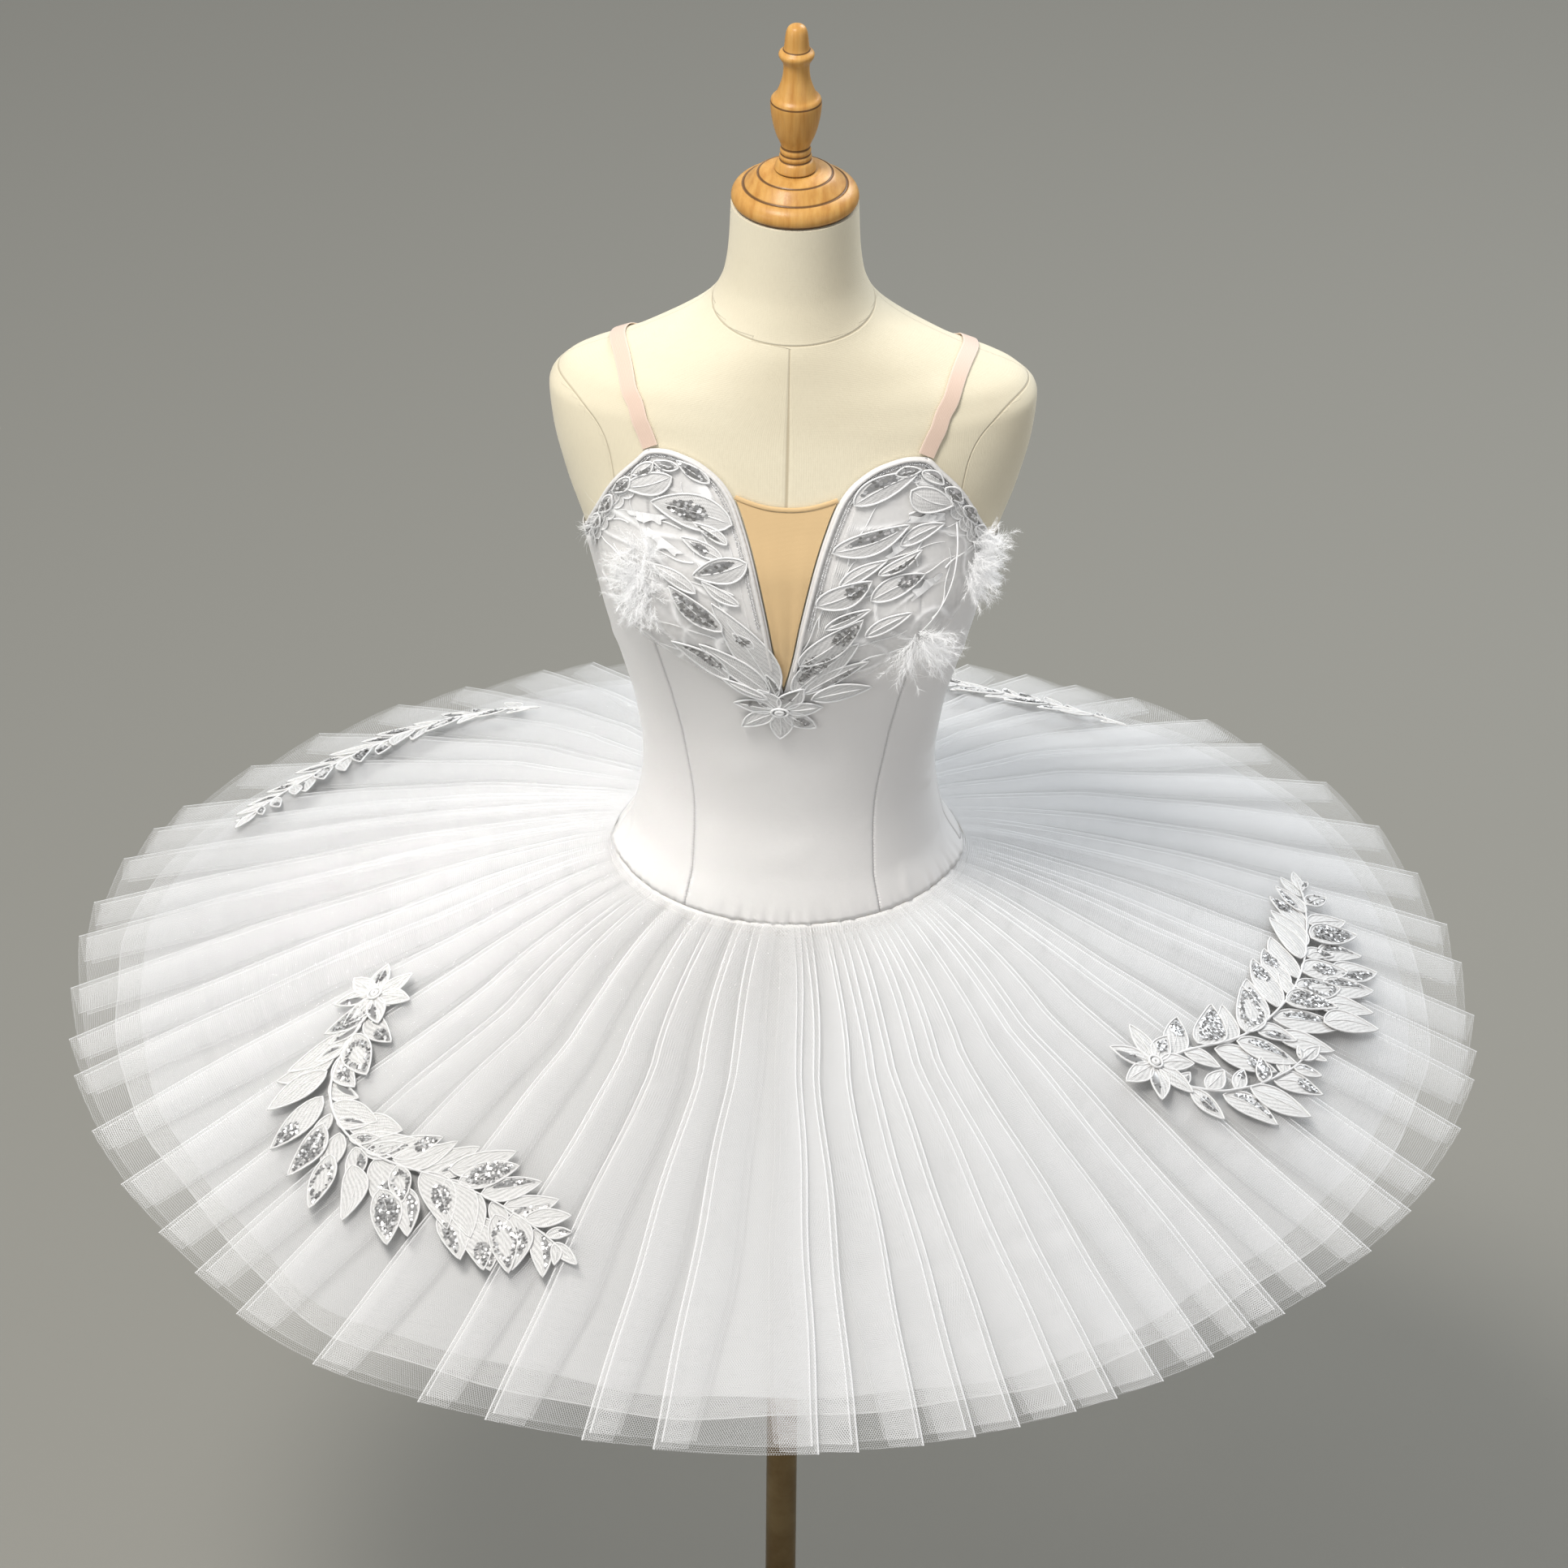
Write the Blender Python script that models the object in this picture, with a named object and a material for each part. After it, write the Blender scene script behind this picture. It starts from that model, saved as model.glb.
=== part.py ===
"""Ballet tutu on a limbless dress form with its stand, in metres.

+Z is up, the floor is z = 0, the pole runs up the Z axis and the tutu faces -Y.
Angles round the figure are measured from the centre front (-Y) towards +X, and
left and right are as seen from the front, so left is -X.
"""

import math

import bmesh
import bpy
import numpy as np

# ---------------------------------------------------------------- driving sizes
GAP = 0.0003                 # between pieces that meet

BASE_RADIUS = 0.170
BASE_THICKNESS = 0.008
HUB_RADIUS = 0.026
HUB_TOP = 0.045
POLE_RADIUS = 0.0123
SOCKET_RADIUS = 0.045
SOCKET_THICKNESS = 0.012

FORM_BOTTOM = 0.800
NECK_TOP = 1.460
CAP_RADIUS = 0.0469

BODICE_CLEARANCE = 0.0019    # from the form to the inside of the bodice
BODICE_WALL = 0.0012
BODICE_RADIUS = 0.110        # of the bodice at the waist, to turn a gap into an angle
TRIM_GAP = 0.0009            # under what lies on a panel
HIP_SEAM_HEIGHT = 0.9050
HIP_SEAM_DIP = 0.0080        # the seam is lower at the front by this
YOKE_WALL = 0.0010
SIDE_SEAM_ANGLE = 92.0

NET_WALL = 0.0012
PLEATS = 64
PLEAT_RISE = 0.0065          # height of a fold edge over its hollow, at the hem
PLEAT_REACH = 0.0075         # a fold edge stands out past its hollow, at the hem
HEM_HEIGHT = 0.7240          # of the hollows at the front
HEM_BACK_RISE = 0.0060
SKIRT_BELOW_SEAM = 0.0016    # from the bodice's edge to the hollows of the top net
SKIRT_CURVE = 1.15           # power of the droop from seam to hem
SPRAY_GAP = 0.0005           # from the fold edges to the sprays on the skirt

STRAP_WIDTH = 0.0125
STRAP_THICKNESS = 0.0010
STRAP_CLEARANCE = 0.0018     # from the form to the underside of a strap

INSERT_WALL = 0.0010         # the net in the V
INSERT_BOTTOM = 1.1100
INSERT_TOP = (1.2525, 1.2600)      # in the middle and at its sides
INSERT_SIDE_GAP = 0.0007
BINDING_WIDTH = 0.0036
BINDING_WALL = 0.0014

PIPING = {"near": 0.0004, "far": 0.0034, "first": 1.2, "last": 66.0}
BRAID = {"near": 0.0038, "far": 0.0076, "first": 3.4, "last": 66.0}
LACE = {"near": 0.0082, "far": 0.0180, "first": 27.0, "last": 66.0}
TRIM_THICKNESS = 0.0012      # of braid, lace and embroidery
PIPING_THICKNESS = 0.0016
YOKE_BOTTOM = 0.850

# Level sections of the form: height, half width across, front and back depth from the
# pole's axis, squareness (2 is an ellipse).
FORM_SECTIONS = (
    (0.800, 0.1440, 0.1000, 0.1120, 2.20),
    (0.815, 0.1490, 0.1040, 0.1180, 2.20),
    (0.850, 0.1490, 0.1060, 0.1220, 2.15),
    (0.885, 0.1395, 0.1060, 0.1170, 2.10),
    (0.905, 0.1300, 0.1035, 0.1080, 2.10),
    (0.935, 0.1150, 0.0970, 0.0960, 2.10),
    (0.985, 0.1080, 0.0905, 0.0840, 2.10),
    (1.040, 0.1145, 0.0935, 0.0880, 2.10),
    (1.080, 0.1250, 0.1000, 0.0940, 2.15),
    (1.120, 0.1365, 0.1080, 0.1000, 2.20),
    (1.160, 0.1455, 0.1130, 0.1030, 2.25),
    (1.200, 0.1555, 0.1100, 0.1050, 2.30),
    (1.240, 0.1690, 0.0990, 0.1040, 2.30),
    (1.280, 0.1785, 0.0860, 0.1000, 2.30),
    (1.306, 0.1810, 0.0780, 0.0900, 2.20),
    (1.322, 0.1715, 0.0740, 0.0710, 2.00),
    (1.343, 0.1240, 0.0690, 0.0590, 1.90),
    (1.365, 0.0805, 0.0635, 0.0600, 1.90),
    (1.375, 0.0670, 0.0595, 0.0582, 1.95),
    (1.386, 0.0580, 0.0562, 0.0564, 2.00),
    (1.405, 0.0512, 0.0515, 0.0520, 2.00),
    (1.430, 0.0482, 0.0488, 0.0490, 2.00),
    (NECK_TOP, 0.0470, 0.0470, 0.0470, 2.00),
)
BUST = {"height": 1.165, "spread_z": 0.038, "angle": 40.0, "spread_angle": 17.0, "rise": 0.013}

# Top edge of the bodice on one side: angle from the centre front, height.
TOP_EDGE = (
    (0.0, 1.1040), (2.0, 1.1350), (3.5, 1.1680), (5.5, 1.2060), (7.8, 1.2380),
    (10.2, 1.2610), (13.8, 1.2760), (19.8, 1.2870), (27.0, 1.2915), (31.5, 1.2900),
    (36.0, 1.2800), (45.0, 1.2600), (55.0, 1.2340), (66.0, 1.2130), (80.0, 1.1980),
    (92.0, 1.1900), (120.0, 1.1740), (150.0, 1.1670), (180.0, 1.1650),
)
# Princess seam on one side: height, angle.
PRINCESS = (
    (0.880, 31.5), (0.900, 32.5), (0.950, 35.5), (1.000, 37.5), (1.050, 39.5),
    (1.100, 39.5), (1.150, 37.0), (1.200, 35.0), (1.250, 33.0), (1.290, 31.5),
)
# Strap over one shoulder: angle, height of its middle line on the form.
STRAP = (
    (31.2, 1.2912), (37.9, 1.3146), (53.7, 1.3326), (76.3, 1.3402), (102.7, 1.3389),
    (126.5, 1.3294), (138.8, 1.3147), (144.6, 1.2962), (148.4, 1.2716), (151.2, 1.2460),
    (153.7, 1.2201), (156.3, 1.1942), (159.0, 1.1690),
)
# Hem, to the fold edges: angle, radius from the pole's axis. The hand-cut circle is a
# little fuller at the left.
HEM = (
    (-180.0, 0.552), (-150.0, 0.557), (-135.0, 0.566), (-115.0, 0.577), (-100.0, 0.572),
    (-90.0, 0.562), (-70.0, 0.553), (-55.0, 0.550), (-36.0, 0.561), (-18.0, 0.556),
    (0.0, 0.553), (15.0, 0.546), (32.0, 0.538), (48.0, 0.526), (60.0, 0.531),
    (80.0, 0.536), (100.0, 0.541), (115.0, 0.550), (130.0, 0.562), (145.0, 0.564),
    (160.0, 0.553), (180.0, 0.552),
)
# Turned profiles: radius, height.
CAP_PROFILE = (
    (0.0440, 1.4603), (CAP_RADIUS, 1.4635), (CAP_RADIUS, 1.4680), (0.0445, 1.4722),
    (0.0395, 1.4755), (0.0380, 1.4748), (0.0368, 1.4765), (0.0285, 1.4845),
    (0.0273, 1.4838), (0.0262, 1.4852), (0.0185, 1.4870),
)
FINIAL_PROFILE = (
    (0.0150, 1.4873), (0.0157, 1.4885), (0.0136, 1.4945), (0.0110, 1.4960),
    (0.0122, 1.4985), (0.0108, 1.5010), (0.0117, 1.5035), (0.0104, 1.5065),
    (0.0120, 1.5110), (0.0148, 1.5170), (0.0177, 1.5290), (0.0189, 1.5400),
    (0.0187, 1.5436), (0.0178, 1.5460), (0.0150, 1.5482), (0.0118, 1.5560),
    (0.0097, 1.5640), (0.0094, 1.5735), (0.0112, 1.5765), (0.0131, 1.5795),
    (0.0131, 1.5822), (0.0104, 1.5843), (0.0092, 1.5856), (0.0081, 1.5985),
    (0.0062, 1.6030), (0.0030, 1.6045),
)
SOCKET_PROFILE = (
    (SOCKET_RADIUS - 0.002, FORM_BOTTOM - GAP - SOCKET_THICKNESS),
    (SOCKET_RADIUS, FORM_BOTTOM - GAP - SOCKET_THICKNESS + 0.002),
    (SOCKET_RADIUS, FORM_BOTTOM - GAP),
)
BASE_PROFILE = (
    (BASE_RADIUS - 0.002, 0.0), (BASE_RADIUS, 0.002), (BASE_RADIUS, BASE_THICKNESS - 0.002),
    (BASE_RADIUS - 0.004, BASE_THICKNESS), (HUB_RADIUS + 0.006, BASE_THICKNESS + 0.004),
    (HUB_RADIUS, BASE_THICKNESS + 0.010), (HUB_RADIUS - 0.003, HUB_TOP - 0.004),
    (HUB_RADIUS - 0.006, HUB_TOP),
)

# Layers of the skirt: name, how far short of the hem each stops, how far it lies below
# the top net at the seam and at its edge, whether it is pleated.
LAYERS = (
    ("net_top", 0.000, 0.0000, 0.0000, True),
    ("net_second", 0.007, 0.0024, 0.0024, True),
    ("plate_upper", 0.037, 0.0050, 0.0070, False),
    ("plate_lower", 0.055, 0.0075, 0.0105, False),
)

# Sprays on the bodice, right side: angle, height of the stem, and how far leaves reach
# on each side of it.
BODICE_SPRAY = (
    (6.5, 1.1080, 0.003, 0.003), (9.5, 1.1150, 0.006, 0.020), (13.0, 1.1250, 0.012, 0.010),
    (15.5, 1.1400, 0.010, 0.028), (18.0, 1.1560, 0.016, 0.014), (20.0, 1.1740, 0.010, 0.032),
    (21.5, 1.1920, 0.020, 0.016), (22.5, 1.2100, 0.012, 0.030), (23.5, 1.2260, 0.020, 0.014),
    (25.5, 1.2400, 0.010, 0.020), (28.5, 1.2520, 0.005, 0.006),
)
STAR_PETALS = 7
STAR = {"angle": -1.0, "height": 1.0860, "tip": 0.024, "notch": 0.009}

# Sprays on the skirt: angle round the figure and distance from the axis along the stem,
# and how far leaves reach on each side of it.
SKIRT_SPRAYS = {
    "front_left": (
        (-69.0, 0.328, 0.006, 0.006), (-66.5, 0.336, 0.024, 0.024), (-64.0, 0.347, 0.030, 0.028),
        (-62.0, 0.364, 0.016, 0.018), (-60.0, 0.385, 0.026, 0.044), (-56.5, 0.404, 0.018, 0.022),
        (-51.5, 0.414, 0.040, 0.052), (-47.0, 0.415, 0.020, 0.026), (-42.5, 0.411, 0.044, 0.056),
        (-38.5, 0.404, 0.018, 0.026), (-34.0, 0.401, 0.036, 0.056), (-30.0, 0.402, 0.016, 0.022),
        (-26.5, 0.406, 0.028, 0.034), (-22.5, 0.414, 0.012, 0.016), (-19.5, 0.424, 0.004, 0.004),
    ),
    "front_right": (
        (55.0, 0.334, 0.006, 0.006), (58.0, 0.338, 0.022, 0.058), (62.0, 0.342, 0.034, 0.036),
        (66.0, 0.354, 0.020, 0.074), (70.0, 0.369, 0.038, 0.074), (74.0, 0.378, 0.022, 0.046),
        (78.5, 0.386, 0.042, 0.064), (83.0, 0.393, 0.022, 0.038), (87.5, 0.398, 0.036, 0.054),
        (91.5, 0.402, 0.018, 0.032), (95.5, 0.405, 0.034, 0.046), (100.0, 0.410, 0.014, 0.026),
        (104.5, 0.415, 0.018, 0.024), (108.0, 0.416, 0.004, 0.004),
    ),
    "back_left": (
        (-146.0, 0.386, 0.005, 0.005), (-145.0, 0.402, 0.020, 0.022), (-143.0, 0.420, 0.012, 0.014),
        (-140.0, 0.436, 0.026, 0.026), (-136.5, 0.448, 0.012, 0.014), (-132.5, 0.456, 0.028, 0.028),
        (-128.5, 0.463, 0.012, 0.014), (-124.5, 0.469, 0.026, 0.026), (-120.5, 0.474, 0.010, 0.012),
        (-116.5, 0.479, 0.018, 0.018), (-113.0, 0.483, 0.004, 0.004),
    ),
    "back_right": (
        (143.5, 0.438, 0.004, 0.004), (147.0, 0.432, 0.020, 0.018), (150.5, 0.429, 0.010, 0.012),
        (154.0, 0.427, 0.026, 0.026), (157.5, 0.426, 0.012, 0.014), (161.0, 0.424, 0.028, 0.028),
        (164.5, 0.420, 0.012, 0.014), (168.0, 0.414, 0.026, 0.026), (171.5, 0.404, 0.012, 0.014),
        (174.0, 0.391, 0.020, 0.020), (175.5, 0.376, 0.005, 0.005),
    ),
}

# Tufts of down: name, angle and height of the middle on the bodice, half sizes round
# the figure and upwards, how far the down stands out, and its gap over the panel.
TUFTS = (
    ("feather_tuft_right_upper", 57.0, 1.1980, 0.018, 0.027, 0.016, 0.0023),
    ("feather_tuft_right_lower", 42.5, 1.1340, 0.016, 0.021, 0.012, 0.0008),
    ("feather_tuft_left", -43.0, 1.1880, 0.011, 0.036, 0.009, 0.0006),
)

# Colour, roughness and metallic value of each finish.
FINISHES = {
    "linen": ((0.83, 0.78, 0.62), 0.85, 0.0),
    "maple": ((0.73, 0.45, 0.17), 0.30, 0.0),
    "brass": ((0.42, 0.31, 0.17), 0.32, 1.0),
    "satin": ((0.90, 0.89, 0.90), 0.45, 0.0),
    "tulle": ((0.93, 0.93, 0.95), 0.70, 0.0),
    "mesh": ((0.76, 0.55, 0.29), 0.60, 0.0),
    "elastic": ((0.83, 0.62, 0.52), 0.60, 0.0),
    "embroidery": ((0.92, 0.92, 0.90), 0.60, 0.0),
    "silver": ((0.55, 0.55, 0.56), 0.30, 0.8),
    "down": ((0.95, 0.95, 0.95), 0.90, 0.0),
}


# ---------------------------------------------------------------- mesh helpers
def finish(name):
    """The Principled material of that name."""
    colour, roughness, metallic = FINISHES[name]
    material = bpy.data.materials.new(name)
    material.use_nodes = True
    shader = material.node_tree.nodes["Principled BSDF"]
    shader.inputs["Base Color"].default_value = (*colour, 1.0)
    shader.inputs["Roughness"].default_value = roughness
    shader.inputs["Metallic"].default_value = metallic
    material.diffuse_color = (*colour, 1.0)
    return material


def add_piece(name, verts, faces, finish_name, smooth=False):
    """A named object from points and faces, its faces turned outwards."""
    mesh = bpy.data.meshes.new(name)
    mesh.from_pydata([tuple(v) for v in verts], [], faces)
    work = bmesh.new()
    work.from_mesh(mesh)
    bmesh.ops.recalc_face_normals(work, faces=work.faces)
    if work.calc_volume(signed=True) < 0.0:
        bmesh.ops.reverse_faces(work, faces=work.faces)
    work.to_mesh(mesh)
    work.free()
    if smooth:
        mesh.shade_smooth()
        mesh.set_sharp_from_angle(angle=math.radians(40))
    piece = bpy.data.objects.new(name, mesh)
    bpy.context.collection.objects.link(piece)
    mesh.materials.append(finish(finish_name))
    return piece


def split_quads(grid, ring, upwards):
    """Two triangles for each cell of a grid of points, cut along the diagonal that lies
    further from the Z axis, or higher; as (row, column) pairs."""
    rows, columns = grid.shape[:2]
    level = grid[..., 2] if upwards else np.hypot(grid[..., 0], grid[..., 1])
    cells = []
    for i in range(rows - 1):
        for j in range(columns if ring else columns - 1):
            k = (j + 1) % columns
            a, b, c, d = (i, j), (i, k), (i + 1, k), (i + 1, j)
            if level[a] + level[c] >= level[b] + level[d]:
                cells += [(a, b, c), (a, c, d)]
            else:
                cells += [(a, b, d), (b, c, d)]
    return cells


def add_wall(name, outer, inner, finish_name, ring=False, upwards=False):
    """A closed wall between two grids of points, rows by columns; ring joins the
    last column to the first."""
    rows, columns = outer.shape[:2]
    verts = np.concatenate([outer.reshape(-1, 3), inner.reshape(-1, 3)])
    back = rows * columns
    faces = []
    for cell in split_quads(outer, ring, upwards):
        faces.append(tuple(i * columns + j for i, j in cell))
    for cell in split_quads(inner, ring, upwards):
        faces.append(tuple(back + i * columns + j for i, j in reversed(cell)))
    spans = columns if ring else columns - 1
    for row in (0, rows - 1):
        for j in range(spans):
            a, b = row * columns + j, row * columns + (j + 1) % columns
            faces.append((a, back + a, back + b, b))
    if not ring:
        for column in (0, columns - 1):
            for i in range(rows - 1):
                a, b = i * columns + column, (i + 1) * columns + column
                faces.append((a, b, back + b, back + a))
    return add_piece(name, verts, faces, finish_name)


def add_stack(name, rings, finish_name, smooth=True):
    """A closed solid through rings of points, with a flat lid at each end."""
    rows, columns = rings.shape[:2]
    faces = []
    for i in range(rows - 1):
        for j in range(columns):
            a, b = i * columns + j, i * columns + (j + 1) % columns
            faces.append((a, b, b + columns, a + columns))
    faces.append(tuple(reversed(range(columns))))
    faces.append(tuple(range((rows - 1) * columns, rows * columns)))
    return add_piece(name, rings.reshape(-1, 3), faces, finish_name, smooth)


def add_turned(name, profile, finish_name, segments):
    """A solid turned about the Z axis from (radius, height) pairs."""
    angle = np.arange(segments) * 2.0 * math.pi / segments
    rings = [
        np.stack([r * np.cos(angle), r * np.sin(angle), np.full(segments, z)], 1)
        for r, z in profile
    ]
    return add_stack(name, np.array(rings), finish_name)


# ---------------------------------------------------------------- the form's surface
def follow(x, xs, ys):
    """Smooth monotone curve through (xs, ys), read at x."""
    xs, ys = np.asarray(xs, float), np.asarray(ys, float)
    step = np.diff(xs)
    slope = np.diff(ys) / step
    before, after = slope[:-1], slope[1:]
    rising = before * after > 0
    safe_before = np.where(rising, before, 1.0)
    safe_after = np.where(rising, after, 1.0)
    w1, w2 = 2 * step[1:] + step[:-1], step[1:] + 2 * step[:-1]
    middle = np.where(rising, (w1 + w2) / (w1 / safe_before + w2 / safe_after), 0.0)
    tangent = np.concatenate([slope[:1], middle, slope[-1:]])
    i = np.clip(np.searchsorted(xs, x) - 1, 0, len(xs) - 2)
    h = step[i]
    t = np.clip((x - xs[i]) / h, 0.0, 1.0)
    return (
        (2 * t**3 - 3 * t**2 + 1) * ys[i]
        + (t**3 - 2 * t**2 + t) * h * tangent[i]
        + (3 * t**2 - 2 * t**3) * ys[i + 1]
        + (t**3 - t**2) * h * tangent[i + 1]
    )


SECTIONS = np.array(FORM_SECTIONS)


def level_section(angle, height):
    """Points of the form's level section: a superellipse with its own front and back
    depth, plus the fullness of the bust as two soft mounds."""
    angle, height = np.broadcast_arrays(np.asarray(angle, float), np.asarray(height, float))
    half, front, back, square = (
        follow(height, SECTIONS[:, 0], SECTIONS[:, k]) for k in range(1, 5)
    )
    s, c = np.sin(angle), np.cos(angle)
    x = half * np.sign(s) * np.abs(s) ** (2 / square)
    y = -np.where(c > 0, front, back) * np.sign(c) * np.abs(c) ** (2 / square)
    up = ((height - BUST["height"]) / BUST["spread_z"]) ** 2
    from_front = np.degrees(np.abs(np.arctan2(s, c)))
    across = ((from_front - BUST["angle"]) / BUST["spread_angle"]) ** 2
    rise = BUST["rise"] * np.exp(-up - across)
    return np.stack([x + rise * s, y - rise * c, height], -1)


def form(angle, height, out=0.0):
    """Points at a distance out from the form, along its normal."""
    small = 1e-4
    angle, height = np.broadcast_arrays(np.asarray(angle, float), np.asarray(height, float))
    point = level_section(angle, height)
    round_it = level_section(angle + small, height) - level_section(angle - small, height)
    up_it = level_section(angle, height + small) - level_section(angle, height - small)
    normal = np.cross(round_it, up_it)
    normal /= np.linalg.norm(normal, axis=-1, keepdims=True)
    return point + np.asarray(out, float)[..., None] * normal


def form_walk(angle, height, sideways, upwards, out):
    """Points reached from (angle, height) by walking sideways and upwards on the
    form, in metres, then standing out from it."""
    centre = level_section(angle, height)
    reach = np.hypot(centre[..., 0], centre[..., 1])
    return form(angle + sideways / reach, height + upwards, out)


def top_edge(angle):
    """Height of the bodice's top edge at an angle in radians."""
    edge = np.array(TOP_EDGE)
    return follow(np.abs(np.degrees(angle)), edge[:, 0], edge[:, 1])


def top_edge_angle(height):
    """Half angle of the V's opening at a height, in radians."""
    edge = np.array(TOP_EDGE[:9])
    return np.radians(follow(height, edge[:, 1], edge[:, 0]))


def princess(height):
    """Angle of the princess seam at a height, in radians."""
    seam = np.array(PRINCESS)
    return np.radians(follow(height, seam[:, 0], seam[:, 1]))


def hip_seam(angle):
    """Height of the bodice's lower edge at an angle in radians."""
    return HIP_SEAM_HEIGHT - HIP_SEAM_DIP * np.maximum(np.cos(angle), 0.0) ** 3


# ---------------------------------------------------------------- form and stand
def make_form_and_stand():
    angle = np.radians(np.arange(0, 360, 9.0))
    heights = np.array([
        0.800, 0.815, 0.835, 0.855, 0.872, 0.888, 0.904, 0.920, 0.936, 0.952, 0.968, 0.984,
        1.000, 1.018, 1.038, 1.060, 1.080, 1.100, 1.122, 1.145, 1.165, 1.185, 1.205, 1.225,
        1.250, 1.280, 1.306, 1.322, 1.334, 1.346, 1.365, 1.375, 1.386, 1.405, 1.430,
        NECK_TOP,
    ])
    add_stack("dress_form", form(angle[None, :], heights[:, None]), "linen")
    add_turned("neck_cap", CAP_PROFILE, "maple", 32)
    add_turned("finial", FINIAL_PROFILE, "maple", 20)
    add_turned("form_socket", SOCKET_PROFILE, "brass", 28)
    pole_top = FORM_BOTTOM - 2 * GAP - SOCKET_THICKNESS
    pole = ((POLE_RADIUS, HUB_TOP + GAP), (POLE_RADIUS, pole_top))
    add_turned("pole", pole, "brass", 20)
    add_turned("base", BASE_PROFILE, "brass", 44)


# ---------------------------------------------------------------- bodice
def panel(name, left_seam, right_seam, shares, rows):
    """One bodice panel: columns share out the width between two seams, rows run from
    the hip seam to the top edge, closer over the bust; each seam is a function of
    height."""
    shares = np.asarray(shares, float)

    def column_angle(height):
        left, right = left_seam(height), right_seam(height)
        trim = 0.5 * GAP / BODICE_RADIUS
        return (left + trim) + (right - left - 2 * trim) * shares

    top = np.full_like(shares, 1.2)
    bottom = np.full_like(shares, HIP_SEAM_HEIGHT)
    for _ in range(40):
        top = 0.5 * top + 0.5 * top_edge(column_angle(top))
        bottom = hip_seam(column_angle(bottom))
    even = np.linspace(0.0, 1.0, rows)[:, None]
    closer = 0.05 * (np.sin(2 * math.pi * (even - 0.2)) + math.sin(0.4 * math.pi))
    share_up = even + closer
    height = bottom + (top - bottom) * share_up
    angle = np.array([column_angle(row) for row in height])
    inner = form(angle, height, BODICE_CLEARANCE)
    outer = form(angle, height, BODICE_CLEARANCE + BODICE_WALL)
    add_wall(name, outer, inner, "satin")


def make_bodice():
    edge = np.array(TOP_EDGE[:10])[:, 0] / TOP_EDGE[9][0]
    centre_shares = 0.5 + 0.5 * np.concatenate([-edge[:0:-1], edge])
    side = math.radians(SIDE_SEAM_ANGLE)
    panel("bodice_centre_front", lambda z: -princess(z), princess, centre_shares, 13)
    even = np.linspace(0.0, 1.0, 8)
    panel("bodice_side_front_right", princess, lambda z: z * 0 + side, even, 13)
    panel("bodice_side_front_left", lambda z: z * 0 - side, lambda z: -princess(z), even, 13)
    even = np.linspace(0.0, 1.0, 9)
    panel("bodice_back_right", lambda z: z * 0 + side, lambda z: z * 0 + math.pi, even, 8)
    panel("bodice_back_left", lambda z: z * 0 - math.pi, lambda z: z * 0 - side, even, 8)


def make_mesh_insert():
    """Skin-coloured net that fills the V, with a bound top edge."""
    across = np.linspace(-1.0, 1.0, 7)
    top_middle, top_side = INSERT_TOP
    top = top_middle + (top_side - top_middle) * across**2
    share = np.array([0.0, 0.12, 0.3, 0.5, 0.7, 0.86, 1.0])[:, None]
    height = INSERT_BOTTOM + (top - INSERT_BOTTOM) * share
    side_gap = INSERT_SIDE_GAP / BODICE_RADIUS
    angle = across * (top_edge_angle(height) - side_gap)
    inner = form(angle, height, BODICE_CLEARANCE)
    outer = form(angle, height, BODICE_CLEARANCE + INSERT_WALL)
    add_wall("mesh_insert", outer, inner, "mesh")
    height = np.stack([top + GAP, top + GAP + BINDING_WIDTH])
    widest = top_edge_angle(np.array(top_side))
    angle = across * (np.minimum(top_edge_angle(height), widest) - side_gap)
    inner = form(angle, height, BODICE_CLEARANCE)
    outer = form(angle, height, BODICE_CLEARANCE + BINDING_WALL)
    add_wall("mesh_insert_binding", outer, inner, "mesh")


def edge_strip(name, side, strip, low, high, finish_name):
    """A strip beside the top edge from its first angle to its last: near and far are
    its distances in from the edge, low and high its distances from the form."""
    first, last = strip["first"], strip["last"]
    corners = np.array(TOP_EDGE)[:, 0]
    corners = corners[(corners > first) & (corners < last)]
    spread = np.concatenate([[first, last], corners, np.arange(40.0, last - 2.0, 5.0)])
    angle = np.radians(np.unique(spread))
    height = top_edge(angle)
    point = form(side * angle, height)
    along = np.gradient(point, axis=0)
    along /= np.linalg.norm(along, axis=1, keepdims=True)
    flat = np.hypot(along[:, 0], along[:, 1])
    rise = along[:, 2]
    rows = []
    for distance in (strip["near"], strip["far"]):
        sideways, upwards = side * distance * rise, -distance * flat
        rows.append((sideways, upwards))
    outer = np.array([form_walk(side * angle, height, s, u, high) for s, u in rows])
    inner = np.array([form_walk(side * angle, height, s, u, low) for s, u in rows])
    add_wall(name, outer, inner, finish_name)


def make_edges():
    on_panel = BODICE_CLEARANCE + BODICE_WALL + TRIM_GAP
    on_piping = on_panel + 0.0002
    for side, word in ((-1, "left"), (1, "right")):
        edge_strip(f"edge_piping_{word}", side, PIPING,
                   on_piping, on_piping + PIPING_THICKNESS, "satin")
        edge_strip(f"silver_braid_{word}", side, BRAID,
                   on_panel, on_panel + TRIM_THICKNESS, "silver")
        edge_strip(f"cup_lace_{word}", side, LACE,
                   on_panel, on_panel + TRIM_THICKNESS, "embroidery")


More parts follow.
